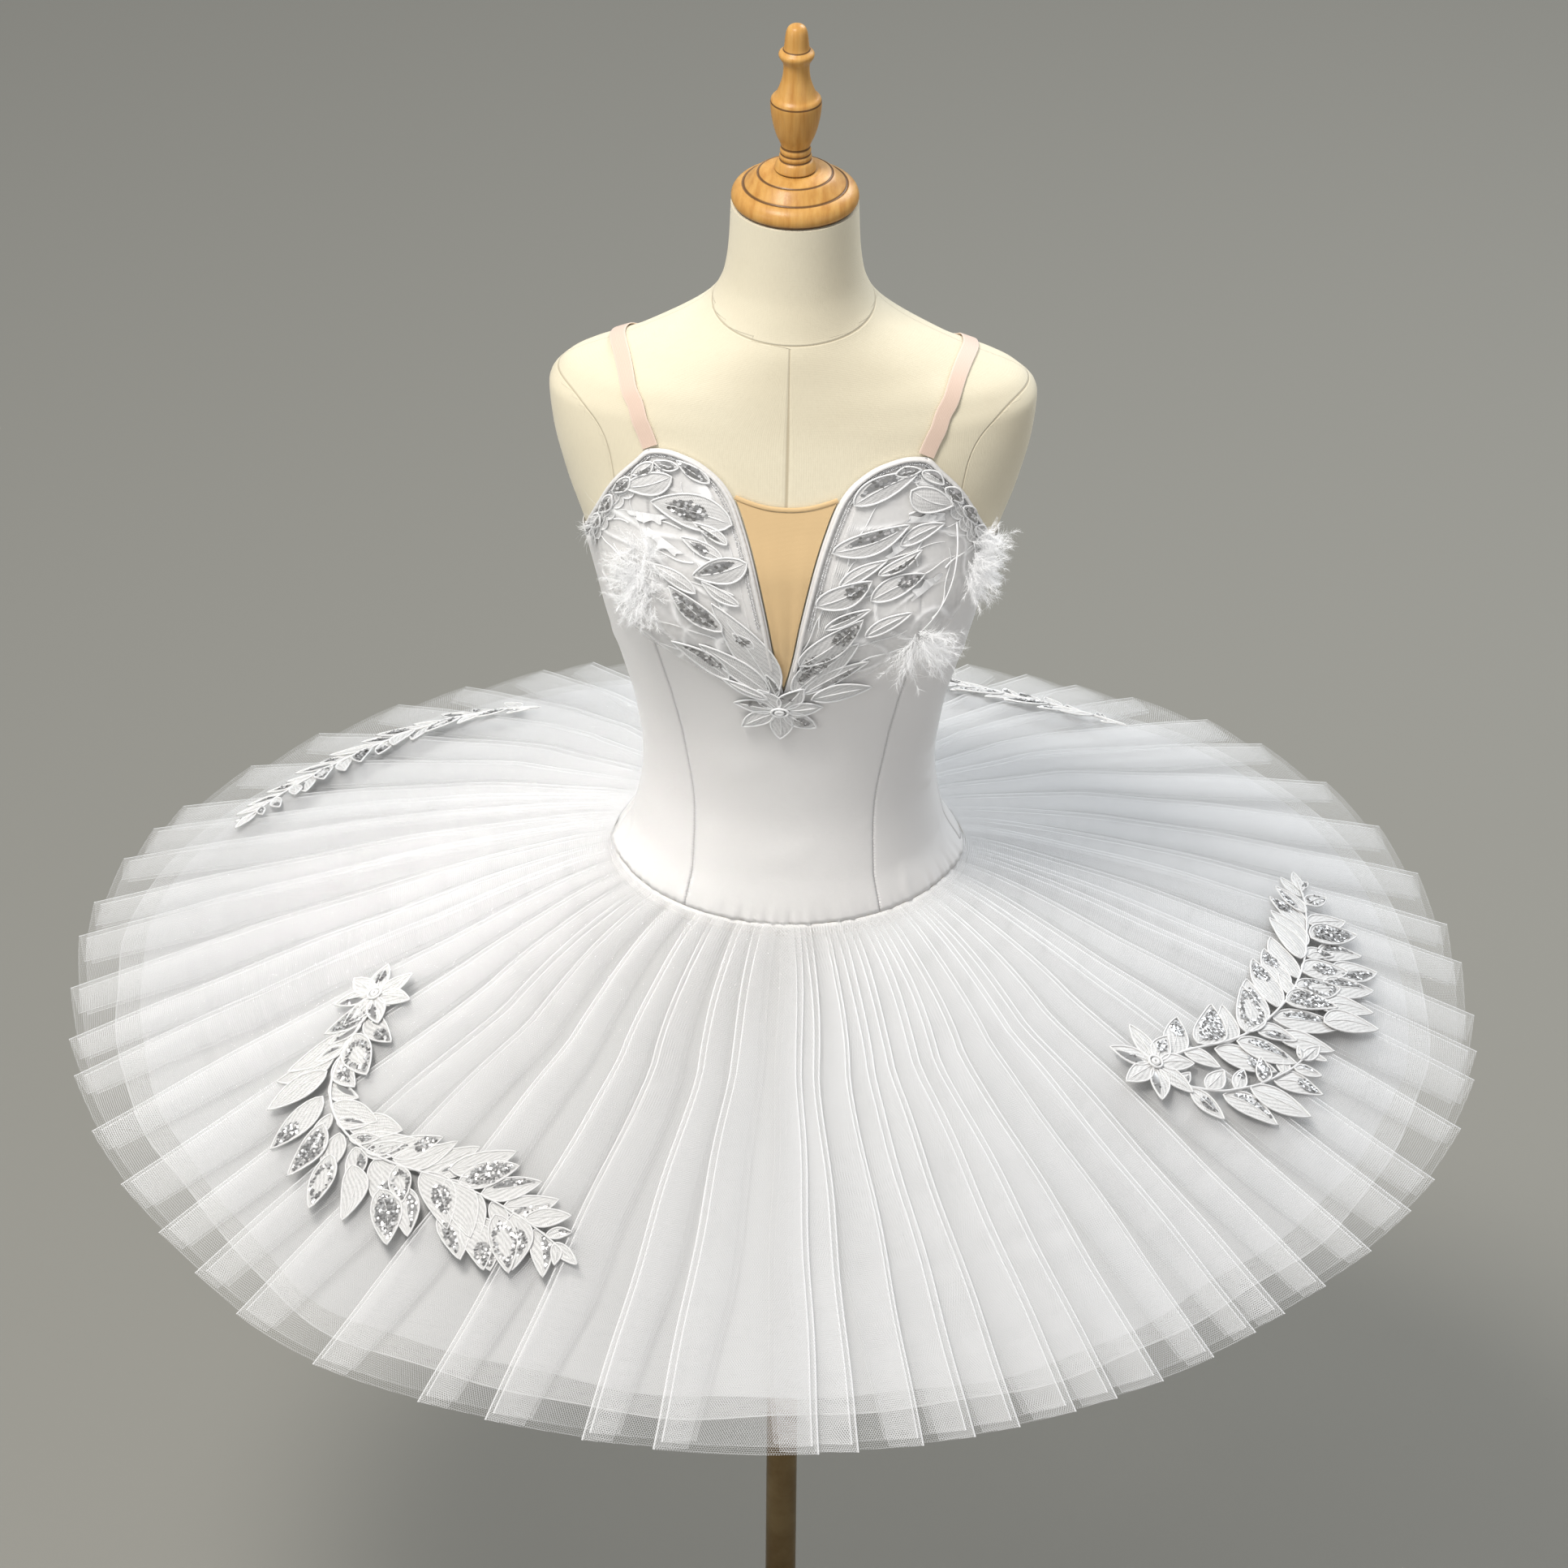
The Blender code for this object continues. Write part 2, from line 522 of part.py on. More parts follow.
def make_straps():
    """Flat elastic from the cup over the shoulder to the top of the back panel."""
    route = np.array(STRAP)
    share = np.linspace(0.0, 1.0, 25)
    lengths = np.linspace(0.0, 1.0, len(route))
    angle = np.radians(follow(share, lengths, route[:, 0]))
    height = np.interp(share, lengths, route[:, 1])
    height[1:-1] = 0.25 * height[:-2] + 0.5 * height[1:-1] + 0.25 * height[2:]
    for side, word in ((-1, "left"), (1, "right")):
        middle = form(side * angle, height)
        normal = form(side * angle, height, 0.001) - middle
        normal /= np.linalg.norm(normal, axis=1, keepdims=True)
        along = np.gradient(middle, axis=0)
        across = np.cross(along, normal)
        across /= np.linalg.norm(across, axis=1, keepdims=True)
        normal = np.cross(across, along)
        normal /= np.linalg.norm(normal, axis=1, keepdims=True)
        edges = np.array([-0.5, 0.5])[:, None, None] * STRAP_WIDTH * across
        inner = middle + STRAP_CLEARANCE * normal + edges
        outer = inner + STRAP_THICKNESS * normal
        add_wall(f"strap_{word}", outer, inner, "elastic")


# ---------------------------------------------------------------- skirt
def pleat_folds():
    """Angles of the fold edges, unevenly spaced, in radians. Folds face away from the
    centre front on both sides, so each edge drops towards the back."""
    k = np.arange(PLEATS)
    uneven = 0.30 * np.sin(2.17 * k + 0.6) + 0.16 * np.sin(5.31 * k + 1.9)
    return (k + 0.5 + uneven) * 2.0 * math.pi / PLEATS - math.pi


def hem_radius(angle):
    table = np.array(HEM)
    from_front = np.degrees(np.arctan2(np.sin(angle), np.cos(angle)))
    return follow(from_front, table[:, 0], table[:, 1])


def seam_ring(angle, below):
    """Points just outside the yoke, at the height where a layer is sewn to it."""
    height = hip_seam(angle) - SKIRT_BELOW_SEAM - below
    lowest = level_section(angle, height - NET_WALL)
    radius = np.hypot(lowest[..., 0], lowest[..., 1]) + BODICE_CLEARANCE + YOKE_WALL + 2 * GAP
    return radius, np.arctan2(lowest[..., 0], -lowest[..., 1]), height


def hem_height(angle):
    return HEM_HEIGHT + HEM_BACK_RISE * (1 - np.cos(angle)) / 2


def skirt(angle, share, layer, short_by=0.0, lift=0.0):
    """Points of a layer of the skirt at an angle and a share of the way from its seam
    to its edge: the radius runs straight out, the height droops by a power of it."""
    below_seam, below_edge = layer
    seam_radius, seam_angle, seam_height = seam_ring(angle, below_seam)
    hem = hem_radius(angle)
    radius = seam_radius + (hem - short_by - seam_radius) * share
    turn = np.arctan2(np.sin(angle - seam_angle), np.cos(angle - seam_angle))
    direction = seam_angle + turn * np.minimum(1.0, 3.0 * share)
    along = (radius - seam_radius) / (hem - seam_radius)
    drop = seam_height - (hem_height(angle) - below_edge)
    height = seam_height - drop * along**SKIRT_CURVE + lift
    return np.stack([radius * np.sin(direction), -radius * np.cos(direction), height], -1)


PLEATED_ROWS = (0.0, 0.1, 0.45, 1.0)
PLAIN_ROWS = (0.0, 0.15, 0.5, 1.0)


def pleat_growth(share):
    """Share of its full height that a pleat has at a share of the way to the hem."""
    return 0.15 + 0.85 * share


def on_fold_edges(angle, share, clear):
    """Points just over the top net's fold edges, straight between its rows."""
    rows = np.array(PLEATED_ROWS)
    i = np.clip(np.searchsorted(rows, share) - 1, 0, len(rows) - 2)
    ends = []
    for row in (rows[i], rows[i + 1]):
        lift = PLEAT_RISE * pleat_growth(row) + clear
        ends.append(skirt(angle, row, LAYERS[0][2:4], 0.0, lift))
    mix = ((share - rows[i]) / (rows[i + 1] - rows[i]))[..., None]
    return ends[0] * (1 - mix) + ends[1] * mix


def make_skirt():
    folds = pleat_folds()
    for name, short_by, below_seam, below_edge, pleated in LAYERS:
        if pleated:
            rows = np.array(PLEATED_ROWS)[:, None]
            pitch = np.diff(np.append(folds, folds[0] + 2 * math.pi))
            facing = np.where(folds > 0, 1.0, -1.0)
            hollow = folds + facing * 0.14 * pitch
            angle = np.stack([folds, hollow], 1).reshape(-1)
            crest = np.tile([1.0, 0.0], PLEATS)
            order = np.argsort(angle)
            angle, crest = angle[order], crest[order]
            rise = PLEAT_RISE * crest * pleat_growth(rows)
            reach = PLEAT_REACH * (1 - crest) * rows**2
        else:
            rows = np.array(PLAIN_ROWS)[:, None]
            angle = np.radians(np.arange(-180, 180, 9.0))
            wave = 0.35 * np.sin(5 * angle + 0.8) + 0.25 * np.sin(11 * angle)
            rise = 0.004 * wave * rows**2
            reach = 0.004 * wave * rows**2
        angle = angle + 0 * rows
        top = skirt(angle, rows + 0 * angle, (below_seam, below_edge), short_by + reach, rise)
        under = top - np.array([0.0, 0.0, NET_WALL])
        add_wall(name, top, under, "tulle", ring=True, upwards=True)


def make_knicker_yoke():
    """The band under the hip seam that the skirt's layers are sewn to."""
    angle = np.radians(np.arange(-180, 180, 10.0))
    top = hip_seam(angle) - GAP
    share = np.array([0.0, 0.36, 0.68, 1.0])[:, None]
    height = top + (YOKE_BOTTOM - top) * share
    out = BODICE_CLEARANCE
    outer, inner = form(angle, height, out + YOKE_WALL), form(angle, height, out)
    add_wall("knicker_yoke", outer, inner, "satin", ring=True)


# ---------------------------------------------------------------- what is sewn on
def make_bodice_sprays():
    spray = np.array(BODICE_SPRAY)
    low = BODICE_CLEARANCE + BODICE_WALL + TRIM_GAP
    high = low + TRIM_THICKNESS
    for side, word in ((-1, "left"), (1, "right")):
        angle, height = side * np.radians(spray[:, 0]), spray[:, 1]
        stem = form(angle, height)
        along = np.gradient(stem, axis=0)
        along /= np.linalg.norm(along, axis=1, keepdims=True)
        flat = np.hypot(along[:, 0], along[:, 1])
        columns = []
        for reach in (-spray[:, 2], -0.5 * spray[:, 2], 0 * spray[:, 2],
                      0.5 * spray[:, 3], spray[:, 3]):
            columns.append((side * reach * along[:, 2], -reach * flat))
        outer = np.array([form_walk(angle, height, s, u, high) for s, u in columns])
        inner = np.array([form_walk(angle, height, s, u, low) for s, u in columns])
        add_wall(f"bodice_spray_{word}", outer, inner, "embroidery")


def make_star():
    """A star flower just below the point of the V."""
    low = BODICE_CLEARANCE + BODICE_WALL + TRIM_GAP
    turn = np.arange(2 * STAR_PETALS) * math.pi / STAR_PETALS - math.pi / 2
    reach = np.tile([STAR["tip"], STAR["notch"]], STAR_PETALS)
    centre = math.radians(STAR["angle"])
    rings = []
    for out in (low, low + TRIM_THICKNESS):
        rings.append(form_walk(centre, STAR["height"], reach * np.cos(turn),
                               0.75 * reach * np.sin(turn), np.full(len(turn), out)))
    middle = [form_walk(centre, STAR["height"], np.zeros(1), np.zeros(1), np.array([out]))[0]
              for out in (low, low + 0.0020)]
    points = np.concatenate([rings[0], rings[1], middle])
    count = len(turn)
    faces = []
    for j in range(count):
        k = (j + 1) % count
        faces.append((j, k, count + k, count + j))
        faces.append((2 * count, k, j))
        faces.append((2 * count + 1, count + j, count + k))
    add_piece("bodice_star", points, faces, "embroidery")


def make_skirt_sprays():
    for name, table in SKIRT_SPRAYS.items():
        spray = np.array(table)
        angle, radius = np.radians(spray[:, 0]), spray[:, 1]
        x, y = radius * np.sin(angle), -radius * np.cos(angle)
        along = np.gradient(np.stack([x, y], 1), axis=0)
        along /= np.linalg.norm(along, axis=1, keepdims=True)
        side = np.stack([along[:, 1], -along[:, 0]], 1)
        layers = []
        for clear in (SPRAY_GAP, SPRAY_GAP + TRIM_THICKNESS):
            rows = []
            for reach in (-spray[:, 2], -0.5 * spray[:, 2], 0 * spray[:, 2],
                          0.5 * spray[:, 3], spray[:, 3]):
                px, py = x + reach * side[:, 0], y + reach * side[:, 1]
                at = np.arctan2(px, -py)
                seam_radius = seam_ring(at, 0.0)[0]
                hem = hem_radius(at)
                share = (np.hypot(px, py) - seam_radius) / (hem - seam_radius)
                rows.append(on_fold_edges(at, share, clear))
            layers.append(np.array(rows))
        add_wall(f"skirt_spray_{name}", layers[1], layers[0], "embroidery", upwards=True)


def make_tufts():
    """Each tuft is a low dome on the bodice: rings under it, then rings over it."""
    turn = np.radians(np.arange(0, 360, 36.0))
    dome = ((0.12, 0.0), (0.45, 0.0), (0.80, 0.05), (1.0, 0.35), (0.82, 0.75), (0.45, 1.0),
            (0.12, 1.05))
    for name, angle, height, half_round, half_up, out, clear in TUFTS:
        low = BODICE_CLEARANCE + BODICE_WALL + clear
        centre = np.full(len(turn), math.radians(angle))
        rings = []
        for spread, rise in dome:
            rings.append(form_walk(centre, height, half_round * spread * np.cos(turn),
                                   half_up * spread * np.sin(turn), low + out * rise))
        add_stack(name, np.array(rings), "down", smooth=False)


def main():
    for item in list(bpy.data.objects):
        bpy.data.objects.remove(item, do_unlink=True)
    make_form_and_stand()
    make_bodice()
    make_mesh_insert()
    make_edges()
    make_straps()
    make_knicker_yoke()
    make_skirt()
    make_bodice_sprays()
    make_star()
    make_skirt_sprays()
    make_tufts()


main()
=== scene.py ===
"""Ballet tutu on a limbless dress form: cloth, net, embroidery, down and light.

Metres, +Z up, floor at z = 0, the pole on the Z axis, the tutu faces -Y. Angles run
from the centre front towards +X. Left and right are as seen from the front.
"""

import math

import bpy
import numpy as np
from mathutils import Matrix


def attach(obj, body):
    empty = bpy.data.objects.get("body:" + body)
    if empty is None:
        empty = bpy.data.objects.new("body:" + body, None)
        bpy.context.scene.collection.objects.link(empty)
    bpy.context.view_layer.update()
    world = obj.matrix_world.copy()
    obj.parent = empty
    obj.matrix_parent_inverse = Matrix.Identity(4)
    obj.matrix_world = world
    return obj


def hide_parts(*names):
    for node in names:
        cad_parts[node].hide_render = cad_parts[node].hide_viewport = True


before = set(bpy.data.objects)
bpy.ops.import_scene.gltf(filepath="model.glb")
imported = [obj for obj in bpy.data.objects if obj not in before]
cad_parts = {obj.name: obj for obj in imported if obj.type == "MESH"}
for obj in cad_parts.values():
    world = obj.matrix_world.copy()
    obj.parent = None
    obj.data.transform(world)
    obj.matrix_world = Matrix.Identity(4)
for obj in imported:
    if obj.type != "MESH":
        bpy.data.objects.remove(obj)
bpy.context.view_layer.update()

# ---------------------------------------------------------------- the cut of the tutu
BODICE_CLEARANCE = 0.0019
BODICE_WALL = 0.0012
ON_PANEL = BODICE_CLEARANCE + BODICE_WALL
ON_TRIM = ON_PANEL + 0.0009
V_BOTTOM, INSERT_TOP, INSERT_DIP = 1.1085, 1.2525, 0.0075
HIP_SEAM_HEIGHT = 0.9050
HIP_SEAM_DIP = 0.0080
YOKE_WALL = 0.0010
YOKE_BOTTOM = 0.850
SIDE_SEAM = math.radians(92.0)
SIDES = ((-1, "left"), (1, "right"))
NET_WALL = 0.0012
PLEAT_RISE = 0.0065
PLEAT_REACH = 0.0080
HEM_HEIGHT = 0.7240
HEM_BACK_RISE = 0.0060
SKIRT_BELOW_SEAM = 0.0016
SKIRT_CURVE = 1.15
SEAM_RADIUS, HEM_RADIUS, PLEAT_RADIUS = 0.135, 0.553, 0.55
FORM_BOTTOM, NECK_TOP = 0.800, 1.460
# Metres to a radian at the waist, on the chart of the cups, and at the bust.
WAIST_RADIUS, CHART_RADIUS, BUST_RADIUS = 0.11, 0.115, 0.12

# Level sections of the form: height, half width, front depth, back depth, squareness.
SECTIONS = np.array((
    (0.800, 0.1440, 0.1000, 0.1120, 2.20), (0.815, 0.1490, 0.1040, 0.1180, 2.20),
    (0.850, 0.1490, 0.1060, 0.1220, 2.15), (0.885, 0.1395, 0.1060, 0.1170, 2.10),
    (0.905, 0.1300, 0.1035, 0.1080, 2.10), (0.935, 0.1150, 0.0970, 0.0960, 2.10),
    (0.985, 0.1080, 0.0905, 0.0840, 2.10), (1.040, 0.1145, 0.0935, 0.0880, 2.10),
    (1.080, 0.1250, 0.1000, 0.0940, 2.15), (1.120, 0.1365, 0.1080, 0.1000, 2.20),
    (1.160, 0.1455, 0.1130, 0.1030, 2.25), (1.200, 0.1555, 0.1100, 0.1050, 2.30),
    (1.240, 0.1690, 0.0990, 0.1040, 2.30), (1.280, 0.1785, 0.0860, 0.1000, 2.30),
    (1.306, 0.1810, 0.0780, 0.0900, 2.20), (1.322, 0.1715, 0.0740, 0.0710, 2.00),
    (1.343, 0.1240, 0.0690, 0.0590, 1.90), (1.365, 0.0805, 0.0635, 0.0600, 1.90),
    (1.375, 0.0670, 0.0595, 0.0582, 1.95), (1.386, 0.0580, 0.0562, 0.0564, 2.00),
    (1.405, 0.0512, 0.0515, 0.0520, 2.00), (1.430, 0.0482, 0.0488, 0.0490, 2.00),
    (1.460, 0.0470, 0.0470, 0.0470, 2.00),
))
BUST = {"height": 1.165, "spread_z": 0.038, "angle": 40.0, "spread_angle": 17.0, "rise": 0.013}
# Top edge of the bodice on one side: angle from the centre front, height.
TOP_EDGE = np.array((
    (0.0, 1.1040), (2.0, 1.1350), (3.5, 1.1680), (5.5, 1.2060), (7.8, 1.2380),
    (10.2, 1.2610), (13.8, 1.2760), (19.8, 1.2870), (27.0, 1.2915), (31.5, 1.2900),
    (36.0, 1.2800), (45.0, 1.2600), (55.0, 1.2340), (66.0, 1.2130), (80.0, 1.1980),
    (92.0, 1.1900), (120.0, 1.1740), (150.0, 1.1670), (180.0, 1.1650),
))
# Princess seam on one side: height, angle.
PRINCESS = np.array((
    (0.880, 31.5), (0.900, 32.5), (0.950, 35.5), (1.000, 37.5), (1.050, 39.5),
    (1.100, 39.5), (1.150, 37.0), (1.200, 35.0), (1.250, 33.0), (1.290, 31.5),
))
# Hem of the top net: angle, radius.
HEM = np.array((
    (-180.0, 0.552), (-150.0, 0.557), (-135.0, 0.566), (-115.0, 0.577), (-100.0, 0.572),
    (-90.0, 0.562), (-70.0, 0.553), (-55.0, 0.550), (-36.0, 0.561), (-18.0, 0.556),
    (0.0, 0.553), (15.0, 0.546), (32.0, 0.538), (48.0, 0.526), (60.0, 0.531),
    (80.0, 0.536), (100.0, 0.541), (115.0, 0.550), (130.0, 0.562), (145.0, 0.564),
    (160.0, 0.553), (180.0, 0.552),
))
# Turned profiles: radius, height.
CAP_PROFILE = (
    (0.0440, 1.4603), (0.0469, 1.4635), (0.0469, 1.4680), (0.0445, 1.4722),
    (0.0395, 1.4755), (0.0380, 1.4748), (0.0368, 1.4765), (0.0285, 1.4845),
    (0.0273, 1.4838), (0.0262, 1.4852), (0.0185, 1.4870),
)
FINIAL_PROFILE = (
    (0.0150, 1.4873), (0.0157, 1.4885), (0.0136, 1.4945), (0.0110, 1.4960),
    (0.0122, 1.4985), (0.0108, 1.5010), (0.0117, 1.5035), (0.0104, 1.5065),
    (0.0120, 1.5110), (0.0148, 1.5170), (0.0177, 1.5290), (0.0189, 1.5400),
    (0.0187, 1.5436), (0.0178, 1.5460), (0.0150, 1.5482), (0.0118, 1.5560),
    (0.0097, 1.5640), (0.0094, 1.5735), (0.0112, 1.5765), (0.0131, 1.5795),
    (0.0131, 1.5822), (0.0104, 1.5843), (0.0092, 1.5856), (0.0081, 1.5985),
    (0.0062, 1.6030), (0.0030, 1.6045),
)
SOCKET_PROFILE = ((0.043, 0.7877), (0.045, 0.7897), (0.045, 0.7984), (0.0446, 0.7997))
POLE_PROFILE = ((0.0119, 0.0453), (0.0123, 0.0457), (0.0123, 0.7870), (0.0119, 0.7874))
BASE_PROFILE = (
    (0.168, 0.0), (0.170, 0.002), (0.170, 0.006), (0.166, 0.008), (0.032, 0.012),
    (0.026, 0.018), (0.023, 0.041), (0.020, 0.045),
)
# Leaves on the cups: angle and height at the base and the tip, half width, bend, which
# part is sequinned.
CUP_LEAVES = {
    "right": (
        (2.5, 1.1060, 19.5, 1.1540, 0.0100, 0.03, "half"), (3.6, 1.1340, 19.7, 1.1740, 0.0086, -0.03, "tip"),
        (7.5, 1.1020, 26.0, 1.1110, 0.0078, 0.05, ""), (5.0, 1.1060, 23.5, 1.1370, 0.0058, 0.04, "other"),
        (21.0, 1.1600, 33.0, 1.1780, 0.0048, 0.05, ""), (6.8, 1.1850, 20.5, 1.2040, 0.0088, -0.05, "tip"),
        (21.0, 1.1885, 36.0, 1.2045, 0.0078, 0.06, "tip"), (9.5, 1.1660, 21.5, 1.1820, 0.0040, 0.02, "half"),
        (9.5, 1.2250, 28.5, 1.2430, 0.0085, -0.06, "half"), (27.0, 1.2280, 39.5, 1.2400, 0.0060, 0.08, ""),
        (13.5, 1.2590, 29.0, 1.2810, 0.0080, 0.06, "half"), (27.5, 1.2680, 41.0, 1.2530, 0.0085, -0.08, ""),
        (4.3, 1.1280, 9.0, 1.1500, 0.0032, 0.0, "all"), (12.0, 1.2000, 24.0, 1.2180, 0.0046, 0.05, ""),
        (22.0, 1.2080, 33.5, 1.2230, 0.0042, -0.05, "other"),
    ),
    "left": (
        (2.0, 1.1040, 17.5, 1.1830, 0.0104, -0.04, ""), (3.5, 1.1060, 22.5, 1.1490, 0.0078, -0.03, ""),
        (10.5, 1.2430, 31.5, 1.2530, 0.0125, -0.06, "eye"), (13.5, 1.2170, 24.0, 1.2300, 0.0048, 0.0, "eye"),
        (7.6, 1.2160, 22.0, 1.2030, 0.0088, 0.06, "other"), (15.2, 1.1615, 29.0, 1.1930, 0.0070, 0.04, "all"),
        (7.0, 1.1480, 12.5, 1.1600, 0.0034, 0.0, "all"), (15.0, 1.1170, 30.5, 1.1495, 0.0074, -0.05, "other"),
        (4.0, 1.1010, 17.0, 1.1180, 0.0038, 0.02, ""), (15.5, 1.2710, 23.5, 1.2850, 0.0040, 0.0, "all"),
        (25.0, 1.2730, 40.0, 1.2590, 0.0075, 0.06, ""), (21.5, 1.1900, 34.0, 1.2070, 0.0050, -0.06, ""),
        (1.6, 1.1030, 4.2, 1.1240, 0.0030, 0.0, "all"), (10.0, 1.1830, 19.5, 1.2000, 0.0040, 0.05, ""),
        (12.0, 1.2280, 20.0, 1.2420, 0.0036, -0.05, "half"),
    ),
}
# Which part of a leaf is sequinned: from and to along it, from and to across it.
SEQUIN_PATCH = {
    "half": (0.18, 0.86, 0.10, 0.80), "other": (0.18, 0.86, -0.80, -0.10),
    "eye": (0.30, 0.78, -0.55, 0.55), "tip": (0.52, 0.92, -0.75, 0.75),
    "all": (0.12, 0.90, -0.80, 0.80), "ring": (0.16, 0.90, -0.84, 0.84),
}
# Torn ruffles of the cups: angle and height at each end.
CUP_FRILLS = (
    (24.0, 1.2180, 34.0, 1.2330), (27.0, 1.2440, 40.0, 1.2420), (33.0, 1.1860, 42.0, 1.2000),
)
# Corded veins of the cups: angle and height at each end, bend.
CUP_VEINS = (
    (5.0, 1.1180, 13.0, 1.1900, 0.10), (9.0, 1.1650, 20.0, 1.2300, 0.08),
    (14.0, 1.2150, 24.0, 1.2700, 0.06), (12.0, 1.1900, 30.0, 1.1980, -0.08),
    (15.0, 1.1500, 34.0, 1.1640, -0.06), (20.0, 1.2120, 41.0, 1.2250, 0.09),
    (24.0, 1.2350, 45.0, 1.2400, -0.07), (31.0, 1.1950, 47.0, 1.2120, 0.10),
    (33.0, 1.2100, 39.0, 1.2560, 0.12), (28.0, 1.2500, 36.0, 1.2700, -0.10),
    (20.0, 1.1350, 37.0, 1.1480, 0.08), (38.0, 1.1700, 43.0, 1.2200, -0.12),
    (43.0, 1.2050, 56.0, 1.2150, 0.10), (40.0, 1.2320, 53.0, 1.2260, -0.10),
)
# Sprays on the skirt: angle, distance from the axis, reach on each side of the stem.
SKIRT_SPRAYS = {
    "front_left": (
        (-69.0, 0.328, 0.006, 0.006), (-66.5, 0.336, 0.026, 0.034), (-64.0, 0.347, 0.036, 0.048),
        (-62.0, 0.364, 0.016, 0.018), (-60.0, 0.385, 0.026, 0.044), (-56.5, 0.404, 0.018, 0.022),
        (-51.5, 0.414, 0.040, 0.052), (-47.0, 0.415, 0.020, 0.026), (-42.5, 0.411, 0.044, 0.056),
        (-38.5, 0.404, 0.018, 0.026), (-34.0, 0.401, 0.036, 0.056), (-30.0, 0.402, 0.016, 0.022),
        (-26.5, 0.406, 0.028, 0.034), (-22.5, 0.414, 0.012, 0.016), (-19.5, 0.424, 0.004, 0.004),
    ),
    "front_right": (
        (55.0, 0.334, 0.006, 0.006), (58.0, 0.338, 0.024, 0.014), (62.0, 0.342, 0.032, 0.026),
        (66.0, 0.354, 0.020, 0.036), (70.0, 0.369, 0.038, 0.040), (74.0, 0.378, 0.024, 0.046),
        (78.5, 0.386, 0.042, 0.060), (83.0, 0.393, 0.024, 0.044), (87.5, 0.398, 0.036, 0.054),
        (91.5, 0.402, 0.018, 0.032), (95.5, 0.405, 0.034, 0.046), (100.0, 0.410, 0.014, 0.026),
        (104.5, 0.415, 0.018, 0.024), (108.0, 0.416, 0.004, 0.004),
    ),
    "back_left": (
        (-146.0, 0.386, 0.005, 0.005), (-145.0, 0.402, 0.020, 0.022), (-143.0, 0.420, 0.012, 0.014),
        (-140.0, 0.436, 0.026, 0.026), (-136.5, 0.448, 0.012, 0.014), (-132.5, 0.456, 0.028, 0.028),
        (-128.5, 0.463, 0.012, 0.014), (-124.5, 0.469, 0.026, 0.026), (-120.5, 0.474, 0.010, 0.012),
        (-116.5, 0.479, 0.018, 0.018), (-113.0, 0.483, 0.004, 0.004),
    ),
    "back_right": (
        (143.5, 0.438, 0.004, 0.004), (147.0, 0.432, 0.020, 0.018), (150.5, 0.429, 0.010, 0.012),
        (154.0, 0.427, 0.026, 0.026), (157.5, 0.426, 0.012, 0.014), (161.0, 0.424, 0.028, 0.028),
        (164.5, 0.420, 0.012, 0.014), (168.0, 0.414, 0.026, 0.026), (171.5, 0.404, 0.012, 0.014),
        (174.0, 0.391, 0.020, 0.020), (175.5, 0.376, 0.005, 0.005),
    ),
}
# Spacing of the leaves along a stem, and half width as a share of a leaf's length.
SPRAY_LEAVES = {
    "front_left": (0.0108, 0.215), "front_right": (0.0128, 0.235),
    "back_left": (0.0100, 0.19), "back_right": (0.0100, 0.19),
}
# A second stem that branches off a spray.
SECOND_STEMS = {
    "front_right": (
        (57.0, 0.346, 0.010, 0.014), (58.5, 0.364, 0.020, 0.030), (61.5, 0.384, 0.014, 0.034),
        (66.0, 0.400, 0.020, 0.034), (71.0, 0.412, 0.014, 0.028), (76.0, 0.420, 0.004, 0.004),
    ),
}


# ---------------------------------------------------------------- camera and light
def unit(v):
    """The same directions at length 1."""
    return v / np.linalg.norm(v, axis=-1, keepdims=True)


def placed(name, data, right, up, back, place):
    """A camera or light with its own axes and place."""
    thing = bpy.data.objects.new(name, data)
    bpy.context.collection.objects.link(thing)
    matrix = np.eye(4)
    matrix[:3] = np.stack([right, up, back, place], 1)
    thing.matrix_world = Matrix(matrix.tolist())
    return thing


def make_camera():
    """Long lens from high in front, six metres off, rolled by half a degree."""
    aim, distance = np.array([-0.0037, 0.0, 0.955]), 6.0
    down, turn, roll = math.radians(32.5), math.radians(-2.5), math.radians(0.588)
    forward = np.array([
        math.sin(turn) * math.cos(down), math.cos(turn) * math.cos(down), -math.sin(down),
    ])
    level = np.array([math.cos(turn), -math.sin(turn), 0.0])
    side = math.cos(roll) * level + math.sin(roll) * np.cross(level, forward)
    top = np.cross(side, forward)
    data = bpy.data.cameras.new("camera")
    data.lens = 179.9
    data.sensor_width = 36.0
    data.clip_end = 60.0
    camera = placed("camera", data, side, top, -forward, aim - distance * forward)
    bpy.context.scene.camera = camera


def softbox(name, place, aim, size, power, colour, spread=180.0):
    """A square studio light that faces a point, its beam narrowed by a grid to spread."""
    data = bpy.data.lights.new(name, "AREA")
    data.spread = math.radians(spread)
    data.shape = "SQUARE"
    data.size = size
    data.energy = power
    data.color = colour
    back = unit(np.array(place, float) - np.array(aim, float))
    right = unit(np.cross([0.0, 0.0, 1.0], back))
    placed(name, data, right, np.cross(back, right), back, place)


